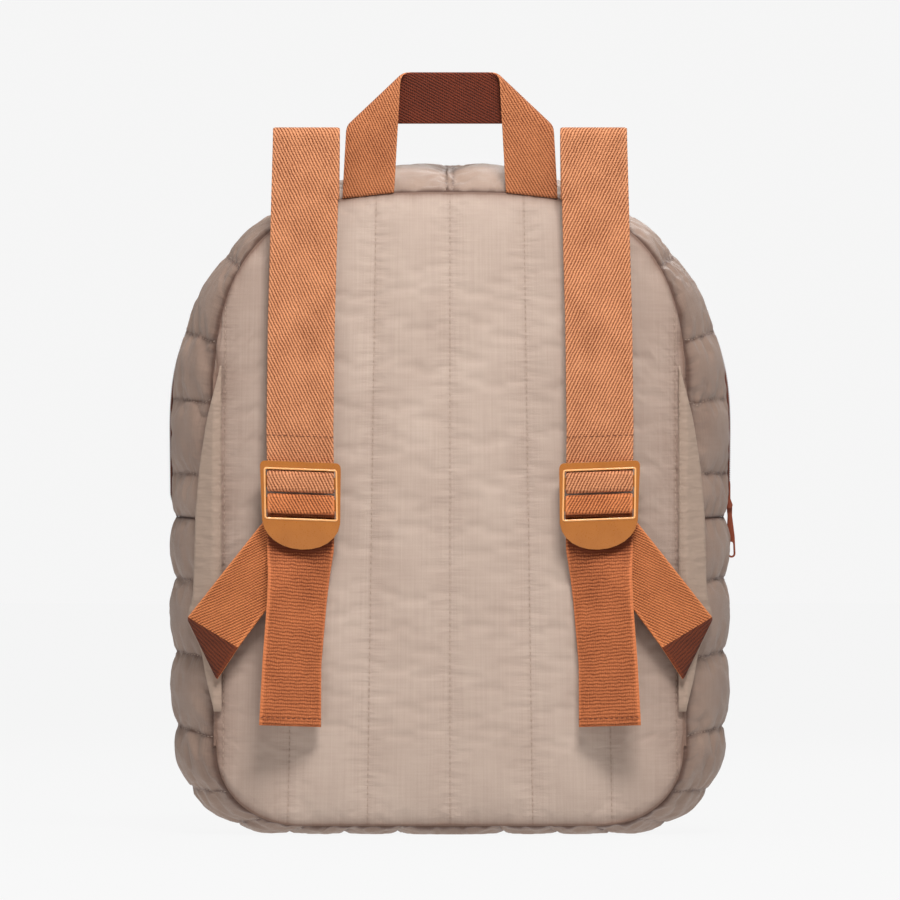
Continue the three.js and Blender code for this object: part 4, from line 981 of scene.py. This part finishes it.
def window_bead(word, side):
    wide, high = WINDOW_HALF + BEAD_RADIUS, (WINDOW_TOP - WINDOW_LOW) / 2 + BEAD_RADIUS
    corners = [(0, -high), (wide, -high), (wide, high), (-wide, high), (-wide, -high), (0, -high)]
    route = rounded_route(corners, 1.0, 4)[:-1]
    along = np.roll(route, -1, 0) - np.roll(route, 1, 0)
    sideways = unit(np.stack([along[:, 1], -along[:, 0]], -1))
    turns = np.linspace(0, 2 * math.pi, BEAD_POINTS, endpoint=False)
    middle = (WINDOW_TOP + WINDOW_LOW) / 2
    points, faces = [], []
    for at, way in zip(route, sideways):
        for t in turns:
            across, up = at + way * BEAD_RADIUS * math.cos(t)
            points.append(from_buckle(side, across, BEAD_OUT + BEAD_RADIUS * math.sin(t), up + middle))
    points = np.array(points)
    for k in range(len(route)):
        for t in range(BEAD_POINTS):
            a, b = k * BEAD_POINTS, (k + 1) % len(route) * BEAD_POINTS
            face = [a + t, a + (t + 1) % BEAD_POINTS, b + (t + 1) % BEAD_POINTS, b + t]
            faces.append(face if side > 0 else face[::-1])
    return grid_piece(f"window_bead_{word}", points, faces, points[:, :2])


beads = [window_bead(word, side) for word, side in SIDES]

# %% [markdown]
# ## Stitches and zip teeth
#
# Both are one small shape repeated along a path, which is what Geometry Nodes are for: a curve is
# resampled to a pitch, a shape is set on every point and turned along the curve, and the copies are
# made real.

# %% A node tree that repeats a small capsule along lines
def repeat_tree():
    tree = bpy.data.node_groups.new("repeat_along_lines", "GeometryNodeTree")
    numbers = [(label, "Float") for label in ("Pitch", "Length", "Width", "Height")]
    for label, kind in [("Geometry", "Geometry"), *numbers, ("Finish", "Material")]:
        tree.interface.new_socket(label, in_out="INPUT", socket_type="NodeSocket" + kind)
    tree.interface.new_socket("Geometry", in_out="OUTPUT", socket_type="NodeSocketGeometry")

    def add(kind, settings=(), **inputs):
        made = tree.nodes.new(kind)
        for name, value in settings:
            setattr(made, name, value)
        for name, value in inputs.items():
            if isinstance(value, bpy.types.NodeSocket):
                tree.links.new(value, made.inputs[name])
            else:
                made.inputs[name].default_value = value
        return made.outputs[0] if made.outputs else None

    given = tree.nodes.new("NodeGroupInput").outputs
    curve = add("GeometryNodeMeshToCurve", Mesh=given["Geometry"])
    evened = add("GeometryNodeResampleCurve", [("mode", "LENGTH")], Curve=curve, Length=given["Pitch"])
    tangent = add("GeometryNodeInputTangent")
    turned = add("FunctionNodeAlignRotationToVector", [("axis", "X")], Vector=tangent)
    ball = add("GeometryNodeMeshUVSphere", Segments=6, Rings=4, Radius=0.5)
    size = add("ShaderNodeCombineXYZ", X=given["Length"], Y=given["Width"], Z=given["Height"])
    set_on = add("GeometryNodeInstanceOnPoints", Points=evened, Instance=ball, Rotation=turned, Scale=size)
    real = add("GeometryNodeRealizeInstances", Geometry=set_on)
    painted = add("GeometryNodeSetMaterial", Geometry=real, Material=given["Finish"])
    add("NodeGroupOutput", Geometry=painted)
    return tree


repeat = repeat_tree()


def repeated(name, lines, finish, pitch, length, width, height):
    """Capsules along lines of points, as one plain mesh."""
    points, edges = [], []
    for line in lines:
        start = len(points)
        points += [tuple(p) for p in np.asarray(line) * MM]
        edges += [(start + k, start + k + 1) for k in range(len(line) - 1)]
    mesh = bpy.data.meshes.new(name)
    mesh.from_pydata(points, edges, [])
    piece = placed(name, mesh)
    modifier = piece.modifiers.new("repeat", "NODES")
    modifier.node_group = repeat
    values = {"Pitch": pitch * MM, "Length": length * MM, "Width": width * MM, "Height": height * MM,
              "Finish": finish.material}
    for item in repeat.interface.items_tree:
        if item.in_out == "INPUT" and item.name in values:
            modifier[item.identifier] = values[item.name]
    print(f"{name}: {len(baked(piece).polygons)} faces")
    return piece

# %% [markdown]
# Webbing is woven from thick yarns. On the shoulder straps and the handle each lengthwise yarn
# floats over several cross yarns, one step further on in every column, which draws steep diagonals.
# The lower straps are a thinner ribbed weave. A band's edge, the selvage, is paler.

# %% Webbing, plastic and metal
def webbing_finish(name, light, dark, half_width, column, pick, weft, ribbed=False, selvage=0.35,
                   shadowed=False):
    """Column and pick are the weave's repeats across and along, weft the cross yarns' pitch."""
    finish = Finish(name, 0.72, Sheen_Weight=0.04, Specular_IOR_Level=0.2)
    uv = finish.cloth()
    across, along = finish.split(uv)
    wander = finish.noise(uv, 0.16, 2.0)
    ridge = (across * (math.pi / column)).math("SINE").math("ABSOLUTE")
    if ribbed:
        rib = (along * (math.pi / pick) + wander * 3.5).math("SINE").math("ABSOLUTE")
        thread = rib * (ridge * 0.2 + 0.4) + 0.3
    else:
        slant = across * (math.pi / column) + along * (math.pi / pick) + wander * 2.0
        cross_yarn = (along * (math.pi / weft)).math("SINE").math("ABSOLUTE")
        thread = slant.math("SINE").math("ABSOLUTE") * 0.75 + cross_yarn * 0.25
    fuzz = finish.noise(uv, 1.1, 2.0)
    edge = (across.math("ABSOLUTE") - (half_width - 1.0)).math("MAXIMUM", 0.0) * selvage
    shade = thread * 1.1 + (fuzz - 0.5) * 1.1 + (finish.noise(uv, 0.05, 2.0) - 0.5) * 0.5 + edge - 0.15
    if shadowed:
        shade = shade - finish.mark("behind_plate") * 1.2
    finish.feed("Base Color", finish.mix(shade, dark, light))
    finish.feed("Normal", finish.bump(thread + fuzz * 0.4, 0.5 * MM, 0.9))
    return finish


def hard_finish(name, colour, darker, roughness, metallic=0.0):
    finish = Finish(name, roughness, Metallic=metallic)
    spot = finish.place()
    cloudy = finish.noise(spot, 0.09, 3.0)
    fine = finish.noise(spot, 1.6, 2.0)
    finish.feed("Base Color", finish.mix(cloudy * 0.8 + fine * 0.3 - 0.05, darker, colour))
    finish.feed("Roughness", fine * 0.16 + (roughness - 0.08))
    finish.feed("Normal", finish.bump(fine, 0.05 * MM, 0.4))
    return finish


strap_web = webbing_finish("strap_web", (222, 150, 106), (104, 48, 20), 18.8, 2.0, 3.6, 1.25,
                           selvage=0.05)
handle_twill = webbing_finish("handle_twill", (202, 128, 84), (112, 54, 26), 14.5, 1.7, 3.2, 1.2)
# painted shade: a dark copy of the handle twill for the reverse side, which shows on the bar behind the legs
handle_back_shade = webbing_finish("handle_back_shade", (112, 46, 24), (50, 18, 8), 14.5, 1.7, 3.2, 1.2)
lower_rib = webbing_finish("lower_rib", (200, 116, 70), (98, 42, 16), 18.8, 1.4, 1.9, 0, True,
                           shadowed=True)
lower_dots = webbing_finish("lower_dots", (218, 132, 80), (100, 42, 16), 18.8, 1.9, 3.1, 1.2)
# painted shade: a dark copy of the ribbed webbing for the downward stretch from the wing's hem to the ridge
lower_fold_shade = webbing_finish("lower_fold_shade", (112, 52, 28), (58, 22, 10), 18.8, 1.3, 1.9, 0, True)
buckle_plastic = hard_finish("buckle_plastic", (178, 108, 40), (152, 88, 28), 0.3)
# painted highlight: a much lighter copy of the buckle plastic for the bead round each window
bead_painted_highlight = hard_finish("bead_painted_highlight", (246, 184, 122), (226, 158, 92), 0.18)
zip_metal = hard_finish("zip_metal", (160, 78, 50), (104, 46, 28), 0.38, 0.35)
coil_plastic = hard_finish("coil_plastic", (104, 54, 38), (66, 32, 22), 0.35)
zip_cloth = webbing_finish("zip_cloth", (110, 58, 42), (68, 34, 24), 9, 0.7, 0.8, 0, True)
# painted light: a lighter copy of the shell cloth for the side wings
wing_cloth_lit = shell_cloth("wing_cloth_lit", (216, 196, 180), (160, 138, 122), 0.62, 0.2,
                         (0.05, 0.2), (0.1, 0.1))
panel_thread = hard_finish("panel_thread", (178, 156, 140), (140, 118, 102), 0.7)
strap_thread = hard_finish("strap_thread", (120, 56, 28), (84, 38, 20), 0.7)
for finish in (strap_web, strap_web):
    finish.wear(*[w[0] for w in shoulder_webs])
for finish in (lower_dots, lower_rib, lower_fold_shade):
    finish.wear(*[w[0] for w in lower_webs])
for finish in (handle_twill, handle_back_shade):
    finish.wear(handle_web)
buckle_plastic.wear(*locks)
bead_painted_highlight.wear(*beads)
zip_metal.wear(slider, pull)
wing_cloth_lit.wear(*[w[0] for w in wings])

# %% [markdown]
# The zip is a dark woven tape with a nylon coil along its middle. The coil's turns are the repeated
# capsule again, lying across the tape.

# %% Zip tape and coil
zip_lengths = np.linspace(-zip_end, zip_end, 240) * 0.999
zip_line = shell_point(zip_lengths, 0.0)
zip_inward = unit(shell_normal(zip_lengths, 0.0) * [1, 0, 1])


def along_zip(rise, y):
    """A line along the zip, a little sunk over the top and at its ends, and raised down the sides."""
    fade = smoothstep(np.abs(zip_lengths), 150, 220)
    fade = fade * np.clip((zip_end - np.abs(zip_lengths)) / NEAR_END, 0, 1)
    line = zip_line - zip_inward * lerp(0.6, -rise, fade)[:, None]
    line[:, 1] = y
    return line


tape_edges = np.stack([along_zip(2.4, -ZIP_WIDTH / 2), along_zip(2.4, ZIP_WIDTH / 2)], 1)
zip_tape = band("zip_tape_cloth", tape_edges, 1.4, zip_inward[0])[0]
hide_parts("zip_tape")
zip_cloth.wear(zip_tape)
coil = repeated("zip_coil", [along_zip(3.1, 0.0)], coil_plastic, 1.25, 0.95, 3.1, 1.4)

# %% [markdown]
# Thread lies in short dashes. On the quilting it sinks into the creases, on the straps and the side
# wings it lies on top.

# %% Stitch lines
panel_lines = [line[4:-4] + [0, s * 0.1, 0]
               for s, skin in ((-1, back_lines), (1, front_lines)) for line in skin]
gusset_lines = [line[2:-2] for skin in (top_back_lines, top_front_lines, bottom_lines) for line in skin]
panel_stitches = repeated("panel_stitches", panel_lines, panel_thread, 3.4, 2.5, 0.5, 0.45)
gusset_stitches = repeated("gusset_stitches", gusset_lines, panel_thread, 3.4, 2.5, 0.5, 0.5)
LOOP_STITCH_UP, STITCH_INSET = 41.5, 1.2


def across_web(edges, normal, from_end):
    """A line across a band near its last end, on its outer face."""
    travelled = np.linalg.norm(np.diff(edges.mean(1), axis=0), axis=1)
    k = len(edges) - 1 - int(np.searchsorted(np.cumsum(travelled[::-1]), from_end))
    outward = normal[k] if normal[k][1] < 0 else -normal[k]
    a, b = edges[k] + outward * (WEB_THICKNESS / 2 + 0.1)
    w = STITCH_INSET / np.linalg.norm(b - a)
    return np.linspace(lerp(a, b, w), lerp(b, a, w), 12)


strap_lines = [across_web(edges, normal, 6.0) for _, edges, normal in lower_webs]
for _, side in SIDES:
    strap_lines.append(np.array([from_buckle(side, x, WEB_BACK - STRAP_THICKNESS / 2 - 0.15, LOOP_STITCH_UP)
                                 for x in np.linspace(-17.8, 17.8, 14)]))
strap_stitches = repeated("strap_stitches", strap_lines, strap_thread, 3.0, 2.3, 0.55, 0.45)
wing_stitches = repeated("wing_stitches", [sheet[8:-4, 1] + [0, -0.1, 0] for _, sheet in wings],
                         panel_thread, 3.6, 2.4, 0.5, 0.4)
riders = [(q, "quilted_fabric") for q in quilts + [panel_stitches, gusset_stitches, wing_stitches]]
riders += [(w[0], "strap_webbing") for w in shoulder_webs] + [(w[0], "lower_webbing") for w in lower_webs]
riders += [(w[0], "wing_fabric") for w in wings] + [(l, "buckle_plastic") for l in locks + beads]
riders += [(handle_web, "handle_webbing"), (strap_stitches, "strap_webbing"), (zip_tape, "zip_tape"),
           (coil, "zip_tape"), (slider, "zip_metal")]
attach(pull, "zip_pull")

# %% [markdown]
# ## Hand the pieces to the frame
#
# The box of the dressed bag is written beside the CAD box, to see that nothing has grown.

# %% Ride on the frame
for piece, slot in riders:
    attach(piece, "bag")
